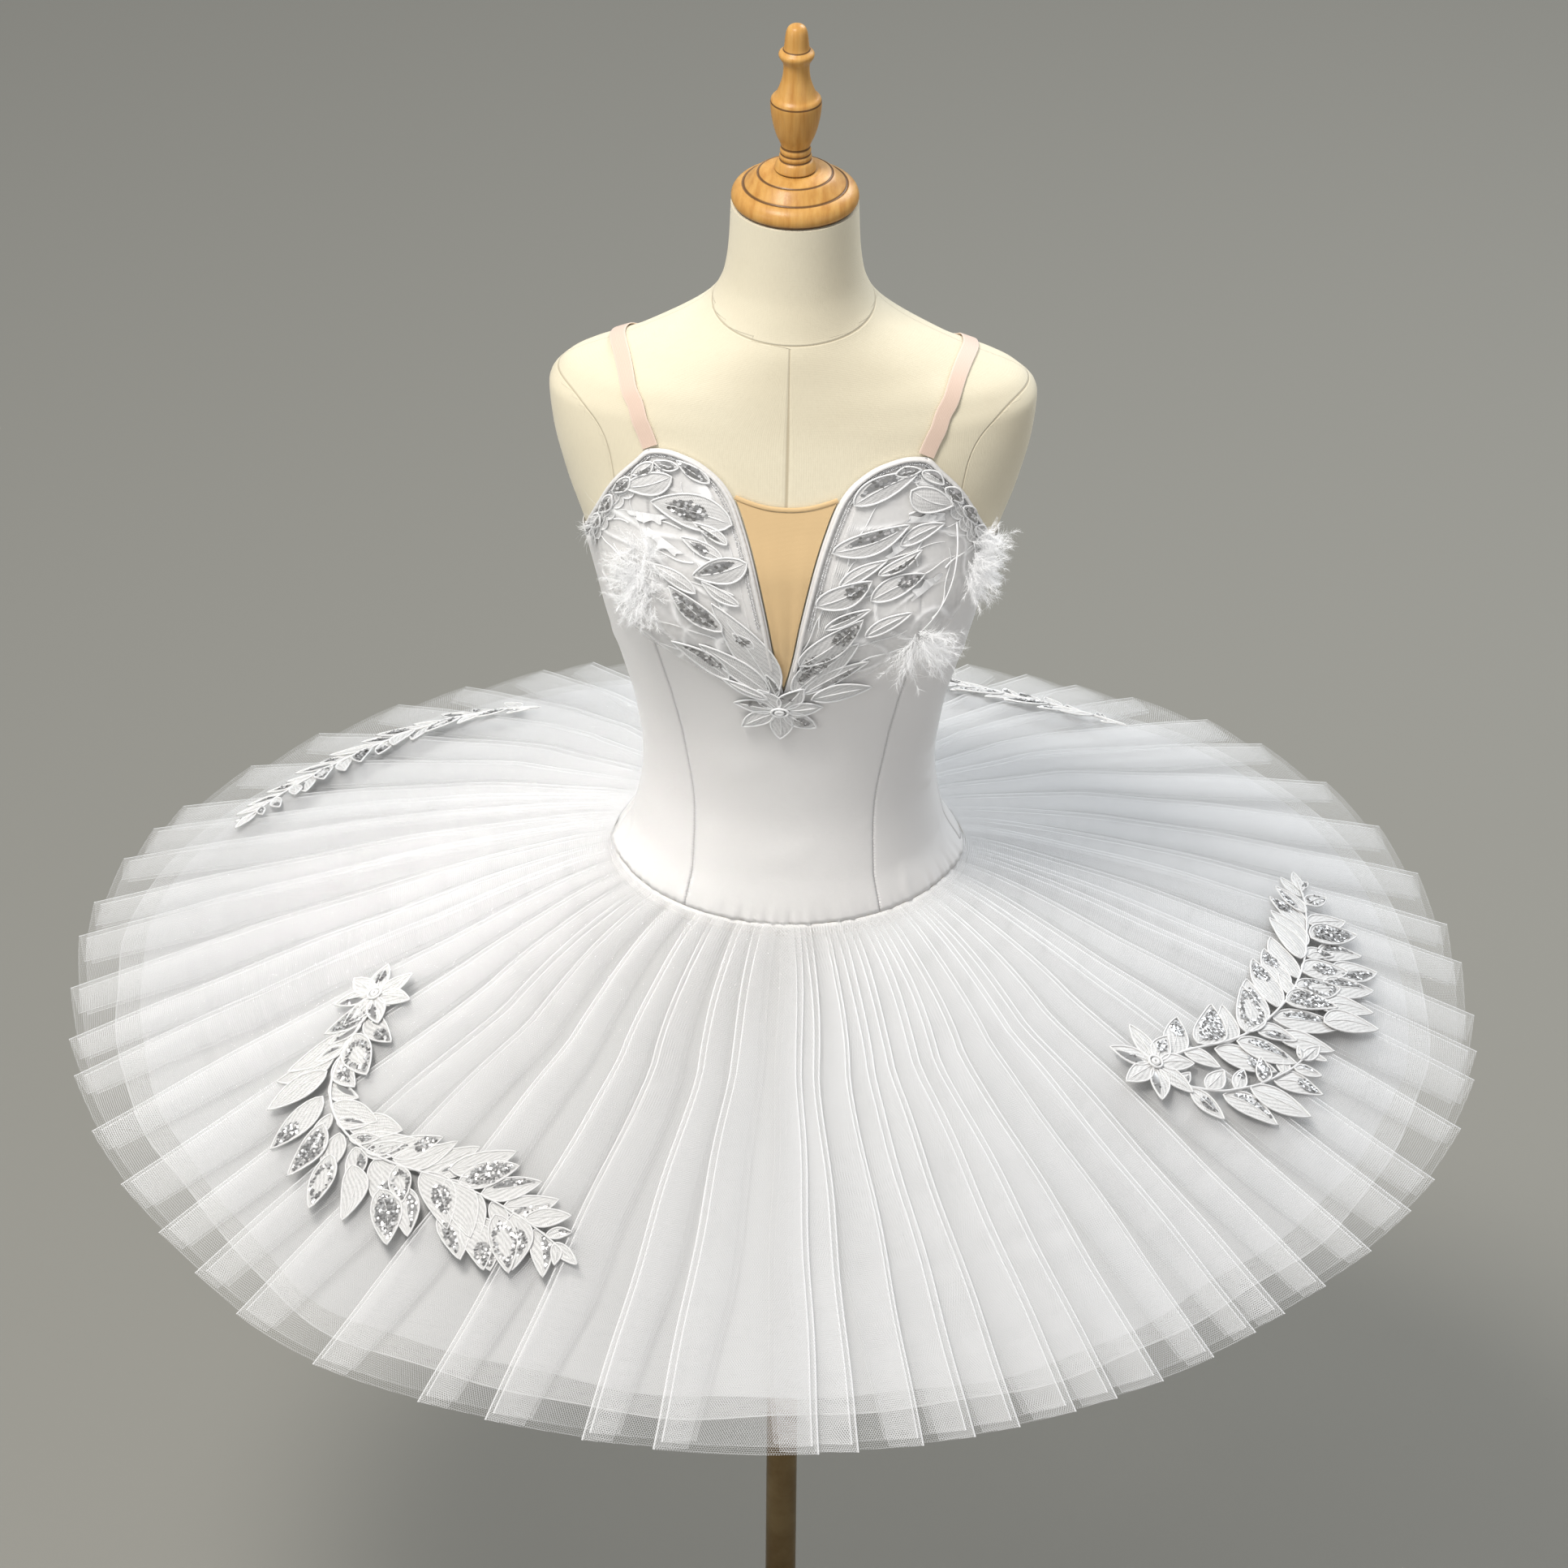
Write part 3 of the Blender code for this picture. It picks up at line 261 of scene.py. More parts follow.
def make_light():
    """Soft sky, a warm key above the left front, a cool light behind, fills on each side
    and a small warm beam towards the waist."""
    world = bpy.data.worlds.new("studio")
    world.use_nodes = True
    sky = world.node_tree.nodes["Background"]
    sky.inputs["Color"].default_value = (0.93, 0.965, 1.0, 1.0)
    sky.inputs["Strength"].default_value = 0.42
    scene = bpy.context.scene
    scene.world = world
    softbox("key_light", (-1.15, -1.15, 4.5), (0.0, 0.0, 1.0), 1.1, 124.0, (1.0, 0.97, 0.93))
    softbox("side_light", (-3.2, -2.7, 2.3), (0.0, 0.0, 1.1), 1.5, 26.0, (1.0, 0.98, 0.96))
    softbox("back_light", (1.6, 2.6, 3.4), (0.0, 0.0, 0.9), 1.6, 84.0, (0.90, 0.95, 1.0))
    softbox("fill_light", (3.0, -2.6, 2.0), (0.0, 0.0, 1.0), 2.4, 16.0, (1.0, 0.92, 0.93))
    softbox("waist_light", (-2.3, -1.5, 2.5), (-0.3, 0.0, 0.92), 0.3, 0.20, (1.0, 0.975, 0.92), 11.0)
    scene.cycles.transparent_max_bounces = 64
    scene.cycles.max_bounces = 6
    scene.cycles.diffuse_bounces = 3
    scene.view_settings.view_transform = "Standard"


# ---------------------------------------------------------------- finishes
class Value:
    """A number that varies over a surface. Python's operators add Math nodes."""

    def __init__(self, finish, socket):
        self.finish, self.socket = finish, socket

    def maths(self, operation, *others):
        """A Math node on this value and the others."""
        return self.finish.node(
            "ShaderNodeMath", {"operation": operation}, dict(enumerate((self, *others)))
        )

    def __add__(self, other):
        return self.maths("ADD", other)

    def __sub__(self, other):
        return self.maths("SUBTRACT", other)

    def __rsub__(self, other):
        return self.maths("MULTIPLY_ADD", -1.0, other)

    def __mul__(self, other):
        return self.maths("MULTIPLY", other)

    def __truediv__(self, other):
        return self.maths("DIVIDE", other)

    def __mod__(self, other):
        return self.maths("FLOORED_MODULO", other)

    def __abs__(self):
        return self.maths("ABSOLUTE")

    __radd__, __rmul__ = __add__, __mul__

    def least(self, other):
        return self.maths("MINIMUM", other)

    def most(self, other):
        return self.maths("MAXIMUM", other)

    def step(self, low, high, first=0.0, last=1.0):
        """Smooth step from first to last as the value goes from low to high."""
        return self.finish.node(
            "ShaderNodeMapRange", {"interpolation_type": "SMOOTHSTEP"},
            {0: self, 1: low, 2: high, 3: first, 4: last},
        )


class Finish:
    """A Principled material and the nodes that vary it."""

    def __init__(self, name, colour, **settings):
        self.material = bpy.data.materials.new(name)
        self.material.use_nodes = True
        self.tree = self.material.node_tree
        self.shader = self.tree.nodes["Principled BSDF"]
        self.material.diffuse_color = (*colour, 1.0)
        self.set(Base_Color=colour, **settings)

    def set(self, **inputs):
        """Values of the shader's sockets, with _ for the spaces in their names."""
        for name, value in inputs.items():
            self.put(self.shader.inputs[name.replace("_", " ")], value)

    def put(self, socket, value):
        """Link a varying value to a socket, or set a number or colour on it."""
        if isinstance(value, Value):
            self.tree.links.new(value.socket, socket)
        elif isinstance(value, tuple) and len(value) == 3 and len(socket.default_value) == 4:
            socket.default_value = (*value, 1.0)
        else:
            socket.default_value = value

    def node(self, kind, settings, inputs, output=0):
        """A node of a type, with its settings and the values or links of its sockets."""
        node = self.tree.nodes.new(kind)
        for name, value in settings.items():
            if name == "stops":
                ramp = node.color_ramp
                for place, colour in value:
                    ramp.elements.new(place).color = (*colour, 1.0)
                ramp.elements.remove(ramp.elements[0])
                ramp.elements.remove(ramp.elements[-1])
            else:
                setattr(node, name, value)
        for name, value in inputs.items():
            self.put(node.inputs[name], value)
        return Value(self, node.outputs[output])

    def where(self):
        """Object coordinates."""
        return self.node("ShaderNodeTexCoord", {}, {}, "Object")

    def axes(self, vector):
        """The three numbers of a vector."""
        first = self.node("ShaderNodeSeparateXYZ", {}, {0: vector})
        return [Value(self, socket) for socket in first.socket.node.outputs]

    def metres(self):
        """The piece's own UV map, in metres."""
        return self.node("ShaderNodeUVMap", {"uv_map": "metres"}, {})

    def painted(self, name):
        """A value stored on the piece's points."""
        return self.node("ShaderNodeAttribute", {"attribute_name": name}, {}, "Fac")

    def noise(self, vector, scale, detail=3.0, roughness=0.5):
        """Soft noise from 0 to 1."""
        return self.node(
            "ShaderNodeTexNoise", {},
            {"Vector": vector, "Scale": scale, "Detail": detail, "Roughness": roughness}, "Fac",
        )

    def stretched(self, vector, scale):
        """The vector times a scale for each axis."""
        return self.node("ShaderNodeVectorMath", {"operation": "MULTIPLY"}, {0: vector, 1: scale})

    def ramp(self, value, *stops):
        """Colour read off stops of place and colour."""
        return self.node("ShaderNodeValToRGB", {"stops": stops}, {0: value})

    def mix(self, share, first, second):
        """Colour that goes from first to second as share goes from 0 to 1."""
        return self.node(
            "ShaderNodeMix", {"data_type": "RGBA"}, {0: share, 6: first, 7: second}, 2
        )

    def bump(self, height, distance):
        """A relief that stands up by distance where height is 1."""
        self.set(Normal=self.node("ShaderNodeBump", {}, {"Height": height, "Distance": distance}))


def wave(value, pitch):
    """0 to 1 and back over each pitch."""
    return abs((value / pitch) % 1.0 - 0.5) * 2.0


def linen():
    """Plain-woven cream cover, darkened along its sewn seams with painted shade in their creases."""
    f = Finish("cream_linen", (0.80, 0.74, 0.60), Roughness=0.85, Sheen_Weight=0.15)
    u, v, _ = f.axes(f.metres())
    weave = wave(u, 0.0009) * 0.5 + wave(v, 0.0009) * 0.5
    slub = f.noise(f.stretched(f.metres(), (900.0, 160.0, 1.0)), 1.0)
    gap = abs(f.painted("neck_seam"))
    for seam in ("arm_seam", "centre_seam", "side_seam"):
        gap = gap.least(abs(f.painted(seam)))
    near = gap.step(0.0001, 0.0006, 1.0, 0.0)
    cloud = f.noise(f.where(), 9.0)
    cream = f.mix(cloud.step(0.3, 0.7), (0.82, 0.75, 0.57), (0.775, 0.70, 0.52))
    cream = f.mix(slub.step(0.35, 0.75) * 0.25, cream, (0.70, 0.625, 0.46))
    # Painted shade: the cloth darkens within about half a millimetre of each seam.
    f.set(Base_Color=f.mix(near * 0.62, cream, (0.40, 0.32, 0.20)))
    f.bump(weave * 0.5 + slub * 0.5 - gap.step(0.0, 0.0012, 2.0, 0.0), 0.00022)
    return f.material


def maple():
    """Turned maple under clear varnish, with painted shade darkening its grooves and its joints with the
    parts beside it.
    """
    f = Finish(
        "varnished_maple", (0.66, 0.38, 0.12),
        Coat_Weight=0.12, Coat_Roughness=0.25, Specular_IOR_Level=0.3,
    )
    rings = f.noise(f.stretched(f.where(), (70.0, 22.0, 5.0)), 3.2, 4.0, 0.55)
    fibre = f.noise(f.stretched(f.where(), (900.0, 900.0, 40.0)), 1.0, 2.0)
    wood = f.ramp(
        rings, (0.25, (0.45, 0.20, 0.040)), (0.5, (0.58, 0.30, 0.076)), (0.75, (0.66, 0.375, 0.11))
    )
    wood = f.mix(fibre.step(0.45, 0.8) * 0.35, wood, (0.50, 0.27, 0.09))
    # Painted shade: grooves and joints darkened nearly to black.
    groove = f.painted("groove").step(0.2, 0.9)
    f.set(
        Base_Color=f.mix(groove * 0.9, wood, (0.10, 0.045, 0.014)),
        Roughness=fibre.step(0.2, 0.8, 0.36, 0.50),
    )
    f.bump(fibre, 0.00008)
    return f.material


def brass():
    """Brushed dark brass tube and plate, a little worn."""
    f = Finish("brushed_brass", (0.36, 0.26, 0.14), Metallic=1.0)
    brushed = f.noise(f.stretched(f.where(), (60.0, 60.0, 900.0)), 1.0, 2.0)
    worn = f.noise(f.where(), 14.0, 5.0, 0.6)
    f.set(
        Base_Color=f.mix(worn.step(0.4, 0.7), (0.25, 0.17, 0.085), (0.38, 0.28, 0.15)),
        Roughness=brushed * 0.2 + worn * 0.22 + 0.12,
    )
    f.bump(brushed, 0.00005)
    return f.material


def satin():
    """Matte white duchesse satin, its fine ribs running round the figure."""
    f = Finish("white_satin", (0.86, 0.86, 0.88), Sheen_Weight=0.25, Sheen_Roughness=0.4)
    _, v, _ = f.axes(f.metres())
    rib = wave(v + f.noise(f.metres(), 60.0) * 0.0008, 0.00045)
    floats = f.noise(f.stretched(f.metres(), (260.0, 1500.0, 1.0)), 1.0, 2.0)
    cloud = f.noise(f.where(), 16.0, 3.0)
    near = f.painted("seam_near")
    stitch = wave(v, 0.0022).step(0.3, 0.7) * near.step(0.0010, 0.0022, 1.0, 0.0)
    # Painted shade: a thin grey line along each seam.
    line = near.step(0.0001, 0.0008, 1.0, 0.0)
    white = f.mix(cloud, (0.85, 0.835, 0.815), (0.815, 0.797, 0.775))
    white = f.mix(stitch * 0.25, white, (0.66, 0.66, 0.70))
    f.set(
        Base_Color=f.mix(line * 0.24, white, (0.60, 0.57, 0.54)),
        Roughness=floats * 0.14 + cloud * 0.08 + 0.36,
    )
    f.bump(rib * 0.35 + floats * 0.5 - stitch * 1.2, 0.00014)
    return f.material


def net_mesh(f, pitch, low, high):
    """Alpha of a hexagonal net on the piece's UVs: low inside a cell, and high on its
    thread, near half a cell in hexagonal distance from the nearest cell's middle."""
    u, v, _ = f.axes(f.metres())
    tall = math.sqrt(3.0)
    cells = []
    for shift in (0.0, 0.5):
        x = abs((u / pitch + shift) % 1.0 - 0.5)
        y = abs((v / pitch + shift * tall) % tall - tall / 2)
        cells.append(x.most(x * 0.5 + y * 0.8660))
    return cells[1].least(cells[0]).step(0.432, 0.487, low, high)


def tulle(name, pitch, low, high, fold=0.5, rim=0.14, colour=(0.98, 0.977, 0.975), valley=1.0):
    """Nylon net: bright threads, open cells, denser along folds and the cut edge; valley is the share of its
    colour left at the bottom of a pleat, painted shade for the light that the layers above hold back."""
    f = Finish(name, colour, Roughness=0.62, Sheen_Weight=0.2)
    edge = f.painted("rim").step(0.0004, 0.0018, rim, 0.0)
    ridge = f.painted("fold").step(0.1, 1.0) * fold
    net = f.mix(f.noise(f.where(), 5.0, 2.0), colour, tuple(0.98 * c for c in colour))
    # Painted shade: the colour darkens to valley towards the bottom of each pleat.
    if valley < 1.0:
        net = f.mix(f.painted("rise").step(0.0, 0.75), tuple(valley * c for c in colour), net)
    f.set(Alpha=(net_mesh(f, pitch, low, high) + ridge + edge).least(1.0), Base_Color=net)
    return f.material


def thread(name, light, dark, pitch):
    """Rayon embroidery: rows of short stitches across the piece's UVs."""
    f = Finish(name, light, Roughness=0.5, Sheen_Weight=0.3, Sheen_Roughness=0.35)
    u, v, _ = f.axes(f.metres())
    wander = f.noise(f.metres(), 240.0, 2.0) * 0.0016
    row = wave(v + u * 0.6 + wander, pitch)
    cross = wave(u - v * 0.35 + wander, pitch * 2.4)
    cloud = f.noise(f.metres(), 420.0, 3.0, 0.7)
    lit = (row * 0.35 + cross * 0.25 + cloud * 0.6).step(0.35, 0.8)
    f.set(Base_Color=f.mix(lit, dark, light))
    f.bump(row * 0.5 + cross * 0.3 + cloud * 0.5, 0.00016)
    return f.material


def sequins():
    """Small silver sequins, each with its own tone."""
    f = Finish("silver_sequins", (0.5, 0.5, 0.5), Metallic=0.55)
    tone = f.painted("tone")
    f.set(
        Base_Color=f.ramp(
            tone, (0.0, (0.27, 0.265, 0.26)), (0.42, (0.41, 0.405, 0.40)),
            (0.72, (0.66, 0.655, 0.65)), (1.0, (0.97, 0.97, 0.97)),
        ),
        Roughness=tone * 0.25 + 0.18,
    )
    return f.material


def beads():
    """Glass beads, some silvered and some milky."""
    f = Finish("glass_beads", (0.75, 0.75, 0.77), Roughness=0.2)
    tone = f.painted("tone")
    f.set(
        Base_Color=f.mix(tone, (0.62, 0.62, 0.62), (0.93, 0.93, 0.94)),
        Metallic=tone.step(0.2, 0.8, 0.4, 0.05),
    )
    return f.material


def nude_mesh():
    """Fine skin-coloured stretch mesh."""
    f = Finish("nude_mesh", (0.70, 0.49, 0.27), Roughness=0.6, Sheen_Weight=0.2)
    u, v, _ = f.axes(f.metres())
    knit = wave(u, 0.0007).least(wave(v, 0.0007))
    tan = f.mix(f.noise(f.where(), 22.0, 3.0), (0.82, 0.585, 0.305), (0.76, 0.525, 0.26))
    f.set(Base_Color=f.mix(knit.step(0.3, 0.8) * 0.25, tan, (0.60, 0.40, 0.21)))
    f.bump(knit, 0.00010)
    return f.material


def elastic():
    """Blush elastic with lengthwise ribs and paler edges."""
    f = Finish("blush_elastic", (0.80, 0.62, 0.53), Roughness=0.58, Sheen_Weight=0.2)
    u, v, _ = f.axes(f.metres())
    rib = wave(u, 0.0012)
    pick = wave(v, 0.0007)
    blush = f.mix(rib.step(0.1, 0.6), (0.70, 0.515, 0.405), (0.76, 0.575, 0.46))
    blush = f.mix(abs(u).step(0.0050, 0.0056), blush, (0.80, 0.63, 0.52))
    f.set(Base_Color=f.mix(pick * 0.15, blush, (0.82, 0.67, 0.57)))
    f.bump(rib * 0.5 + pick * 0.3, 0.00010)
    return f.material


def down():
    """White marabou with a painted glow: a little emission stands in for the light that passes through its
    fine barbs.
    """
    f = Finish(
        "white_down", (0.97, 0.97, 0.97), Roughness=0.8, Sheen_Weight=1.0, Sheen_Roughness=0.6,
        Emission_Color=(1.0, 0.99, 0.98), Emission_Strength=0.10,
    )
    f.set(Base_Color=f.mix(f.painted("tone"), (0.95, 0.95, 0.95), (0.985, 0.985, 0.985)))
    return f.material


def sheer():
    """Sheer ruched voile, thicker in soft clouds and on its ridges."""
    f = Finish("ruched_voile", (0.985, 0.98, 0.97), Roughness=0.6)
    cloud = f.noise(f.where(), 60.0, 2.0, 0.5)
    f.set(Alpha=(cloud.step(0.35, 0.65, 0.26, 0.50) + f.painted("ridge") * 0.8).least(1.0))
    f.bump(f.noise(f.where(), 420.0, 2.0), 0.00006)
    return f.material


FINISHES = {}


def make_finishes():
    """Every finish under the short name that the pieces call it by."""
    FINISHES.update(
        linen=linen(), maple=maple(), brass=brass(), satin=satin(),
        net=tulle("pleated_net", 0.0019, 0.0, 0.70, 0.62, 0.08, valley=0.79),
        # Painted shade: the plates under the pleats take grey copies of the net's white, the lower one
        # darker.
        upper=tulle("upper_plate_net", 0.0014, 0.30, 0.92, 0.0, 0.25, (0.72, 0.717, 0.71)),
        lower=tulle("lower_plate_net", 0.0012, 0.86, 1.0, 0.0, 0.0, (0.64, 0.637, 0.63)),
        fill=thread("leaf_fill", (0.83, 0.822, 0.808), (0.56, 0.554, 0.545), 0.0011),
        cord=thread("leaf_cord", (0.97, 0.97, 0.965), (0.86, 0.86, 0.855), 0.0012),
        # Painted shade: the sprays on the skirt face the lamps more than the cups, so their threads are
        # darker copies of the fill and cord.
        net_fill=thread("net_leaf_fill_shaded", (0.78, 0.772, 0.757), (0.45, 0.445, 0.435), 0.0014),
        net_cord=thread("net_leaf_cord_shaded", (0.88, 0.875, 0.865), (0.70, 0.695, 0.685), 0.0012),
        sequins=sequins(), sheer=sheer(), beads=beads(), mesh=nude_mesh(),
        elastic=elastic(), down=down(),
    )


# ---------------------------------------------------------------- mesh helpers
class Parts:
    """Surfaces gathered into one piece: points, faces, finishes, UVs in metres, values."""

    def __init__(self):
        self.points, self.faces, self.uvs, self.finishes, self.values = [], [], [], [], []
        self.count = 0

    def add(self, points, faces, uv=None, finish=0, **values):
        """uv is given for each point, or for each corner of each face."""
        points = np.asarray(points, float).reshape(-1, 3)
        if uv is None:
            uv = np.zeros((len(points), 2))
        uv = np.asarray(uv, float)
        if uv.shape[:-1] != faces.shape:
            uv = uv.reshape(-1, 2)[faces]
        self.points.append(points)
        self.faces.append(faces + self.count)
        self.uvs.append(uv.reshape(-1, 2))
        self.finishes.append(np.full(len(faces), finish))
        self.values.append((len(points), values))
        self.count += len(points)

    def grid(self, points, uv=None, ring=False, loop=False, flip=False, finish=0, **values):
        """A surface over rows by columns of points; ring joins the last column to the
        first, loop the last row to the first, and the UVs then have one column or row
        more. The outside is column across row."""
        rows, columns = points.shape[:2]
        r = np.arange(rows if loop else rows - 1)[:, None]
        c = np.arange(columns if ring else columns - 1)[None, :]
        corners = ((r, c), (r, c + 1), (r + 1, c + 1), (r + 1, c))
        if flip:
            corners = corners[::-1]
        faces = [i % rows * columns + j % columns + 0 * (r + c) for i, j in corners]
        faces = np.stack(faces, -1).reshape(-1, 4)
        if uv is not None:
            wide = uv.shape[1]
            index = np.stack([i * wide + j + 0 * (r + c) for i, j in corners], -1)
            uv = uv.reshape(-1, 2)[index.reshape(-1, 4)]
        self.add(points, faces, uv, finish, **values)

    def make(self, name, finishes):
        """The gathered surfaces as one object at the origin."""
        mesh = bpy.data.meshes.new(name)
        loops = np.concatenate([f.ravel() for f in self.faces])
        sizes = np.concatenate([np.full(len(f), f.shape[1]) for f in self.faces])
        mesh.vertices.add(self.count)
        mesh.vertices.foreach_set("co", np.concatenate(self.points).ravel())
        mesh.loops.add(len(loops))
        mesh.loops.foreach_set("vertex_index", loops)
        mesh.polygons.add(len(sizes))
        mesh.polygons.foreach_set("loop_start", np.cumsum(sizes) - sizes)
        mesh.update(calc_edges=True)
        mesh.polygons.foreach_set("material_index", np.concatenate(self.finishes))
        mesh.polygons.foreach_set("use_smooth", np.full(len(sizes), True))
        uv = mesh.uv_layers.new(name="metres")
        uv.data.foreach_set("uv", np.concatenate(self.uvs).ravel())
        names = sorted({key for _, values in self.values for key in values})
        for key in names:
            column = [
                np.broadcast_to(np.ravel(values.get(key, 0.0)), (count,))
                for count, values in self.values
            ]
            stored = mesh.attributes.new(key, "FLOAT", "POINT")
            stored.data.foreach_set("value", np.concatenate(column).astype(float))
        mesh.validate()
        piece = bpy.data.objects.new(name, mesh)
        bpy.context.collection.objects.link(piece)
        for finish in finishes:
            mesh.materials.append(FINISHES[finish])
        return piece


def settle(piece, node):
    """The piece rides on the figure and stands for its node, which is hidden."""
    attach(piece, "root")
    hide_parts(node)
    return piece


def thicken(piece, wall):
    """A wall grown inwards from the surface."""
    solid = piece.modifiers.new("wall", "SOLIDIFY")
    solid.thickness = wall
    solid.offset = -1.0
    solid.use_quality_normals = True
    return piece


def lengths(points, axis=0):
    """Running length of a line or grid of points along an axis."""
    step = np.linalg.norm(np.diff(points, axis=axis), axis=-1)
    far = np.cumsum(step, axis=axis)
    first = np.zeros_like(np.take(far, [0], axis=axis))
    return np.concatenate([first, far], axis=axis)


def evenly(line, far, count):
    """The line at even steps of the running length far."""
    even = np.linspace(0.0, far[-1], count)
    return np.stack([np.interp(even, far, column) for column in line.T], 1)


def smoothed(line, times):
    """The line with its inner points drawn to the middle of their neighbours."""
    line = line.copy()
    for _ in range(times):
        line[1:-1] = 0.25 * line[:-2] + 0.5 * line[1:-1] + 0.25 * line[2:]
    return line


def chart_uv(across, along):
    """UVs from a value for each column and one for each row, or for every point."""
    return np.stack(np.broadcast_arrays(across, along), -1)


def rings_round(path, along, radius, sides, up):
    """Points round a path: path + radius (cos a side + sin a top), a from 0 to 2 pi."""
    side = unit(np.cross(along, up))
    top = np.cross(side, along)
    a = (np.arange(sides) * 2 * math.pi / sides)[None, :, None]
    radius = np.broadcast_to(radius, (len(path),))[:, None, None]
    return path[:, None] + radius * (np.cos(a) * side[:, None] + np.sin(a) * top[:, None])


def tube(path, radius, sides, up):
    """Points of a tube on an open path, its ends left open."""
    return rings_round(path, unit(np.gradient(path, axis=0)), radius, sides, up)


def tube_uv(path, radius, sides):
    """UVs of a tube: metres round it and metres along it."""
    across = np.linspace(0.0, 2 * math.pi * np.max(radius), sides + 1)
    return chart_uv(across[None, :], lengths(path)[:, None])


def add_tube(parts, path, radius, sides, up, finish=0, closed=False, **values):
    """A tube on a path, with its ends drawn together; closed joins them instead."""
    up = np.broadcast_to(up, path.shape)
    if closed:
        path, up = (np.concatenate([line, line[:1]]) for line in (path, up))
        beside = np.concatenate([path[-2:-1], path, path[1:2]])
        points = rings_round(path, unit(beside[2:] - beside[:-2]), radius, sides, up)[:-1]
    else:
        radius = np.broadcast_to(radius, (len(path),)).astype(float).copy()
        radius[[0, -1]] *= 0.1
        points = tube(path, radius, sides, up)
    parts.grid(
        points, tube_uv(path, radius, sides), ring=True, loop=closed, flip=True, finish=finish,
        **values,
    )


def rounded(profile):
    """The profile with its corners cut twice, its two ends kept."""
    profile = np.array(profile)
    for _ in range(2):
        low = 0.75 * profile[:-1] + 0.25 * profile[1:]
        high = 0.25 * profile[:-1] + 0.75 * profile[1:]
        cut = np.stack([low, high], 1).reshape(-1, 2)
        profile = np.concatenate([profile[:1], cut, profile[-1:]])
    return profile


def all_round(columns, first=0.0):
    """A row of angles right round the figure, the first again at its end."""
    return (np.arange(columns + 1) * 2 * math.pi / columns + first)[None, :]


def turned(profile, segments, grooves):
    """A solid turned about the Z axis; grooves are (radius, height, half width)."""
    profile = rounded(profile)
    profile = np.concatenate([[[1e-5, profile[0, 1]]], profile, [[1e-5, profile[-1, 1]]]])
    a = all_round(segments)
    r, z = profile[:, :1], profile[:, 1:]
    points = np.stack([r * np.sin(a), -r * np.cos(a), z + 0 * a], -1)
    dark = np.zeros(points.shape[:2])
    for radius, height, wide in grooves:
        apart = np.hypot(r - radius, z - height)
        dark = np.maximum(dark, np.clip(1.6 - apart / wide, 0.0, 1.0) + 0 * a)
    parts = Parts()
    uv = chart_uv(a * 0.03, lengths(profile)[:, None])
    parts.grid(points[:, :-1], uv, ring=True, groove=dark[:, :-1])
    return parts


# ---------------------------------------------------------------- the form's surface
def follow(x, xs, ys):
    """Smooth monotone cubic through (xs, ys), read at x."""
    xs, ys = np.asarray(xs, float), np.asarray(ys, float)
    step = np.diff(xs)
    slope = np.diff(ys) / step
    before, after = slope[:-1], slope[1:]
    rising = before * after > 0
    safe_before = np.where(rising, before, 1.0)
    safe_after = np.where(rising, after, 1.0)
    w1, w2 = 2 * step[1:] + step[:-1], step[1:] + 2 * step[:-1]
    middle = np.where(rising, (w1 + w2) / (w1 / safe_before + w2 / safe_after), 0.0)
    tangent = np.concatenate([slope[:1], middle, slope[-1:]])
    i = np.clip(np.searchsorted(xs, x) - 1, 0, len(xs) - 2)
    h = step[i]
    t = np.clip((x - xs[i]) / h, 0.0, 1.0)
    return (
        (2 * t**3 - 3 * t**2 + 1) * ys[i]
        + (t**3 - 2 * t**2 + t) * h * tangent[i]
        + (3 * t**2 - 2 * t**3) * ys[i + 1]
        + (t**3 - t**2) * h * tangent[i + 1]
    )


def level_section(angle, height):
    """Points of the form's level section: a superellipse with its own front and back
    depth, plus the fullness of the bust as two soft mounds."""
    angle, height = np.broadcast_arrays(np.asarray(angle, float), np.asarray(height, float))
    half, front, back, square = (
        follow(height, SECTIONS[:, 0], SECTIONS[:, k]) for k in range(1, 5)
    )
    s, c = np.sin(angle), np.cos(angle)
    x = half * np.sign(s) * np.abs(s) ** (2 / square)
    y = -np.where(c > 0, front, back) * np.sign(c) * np.abs(c) ** (2 / square)
    up = ((height - BUST["height"]) / BUST["spread_z"]) ** 2
    from_front = np.degrees(np.abs(np.arctan2(s, c)))
    across = ((from_front - BUST["angle"]) / BUST["spread_angle"]) ** 2
    rise = BUST["rise"] * np.exp(-up - across)
    return np.stack([x + rise * s, y - rise * c, height], -1)


def form_normal(angle, height):
    """Outward normal of the form: the cross product of its slopes round and up, each the
    difference of two points close by."""
    small = 1e-4
    round_it = level_section(angle + small, height) - level_section(angle - small, height)
    up_it = level_section(angle, height + small) - level_section(angle, height - small)
    return unit(np.cross(round_it, up_it))


def form(angle, height, out=0.0):
    """Points at a distance out from the form, along its normal."""
    angle, height = np.broadcast_arrays(np.asarray(angle, float), np.asarray(height, float))
    point = level_section(angle, height)
    return point + np.asarray(out, float)[..., None] * form_normal(angle, height)


def form_walk(angle, height, sideways, upwards, out):
    """Points reached by walking sideways and upwards on the form, then standing out."""
    centre = level_section(angle, height)
    reach = np.hypot(centre[..., 0], centre[..., 1])
    return form(angle + sideways / reach, height + upwards, out)


def top_edge(angle):
    """Height of the bodice's top edge at an angle, the same on both sides."""
    return follow(np.abs(np.degrees(angle)), TOP_EDGE[:, 0], TOP_EDGE[:, 1])


def top_edge_angle(height):
    """Angle of the V's edge at a height, read off the top edge the other way round."""
    return np.radians(follow(height, TOP_EDGE[:9, 1], TOP_EDGE[:9, 0]))


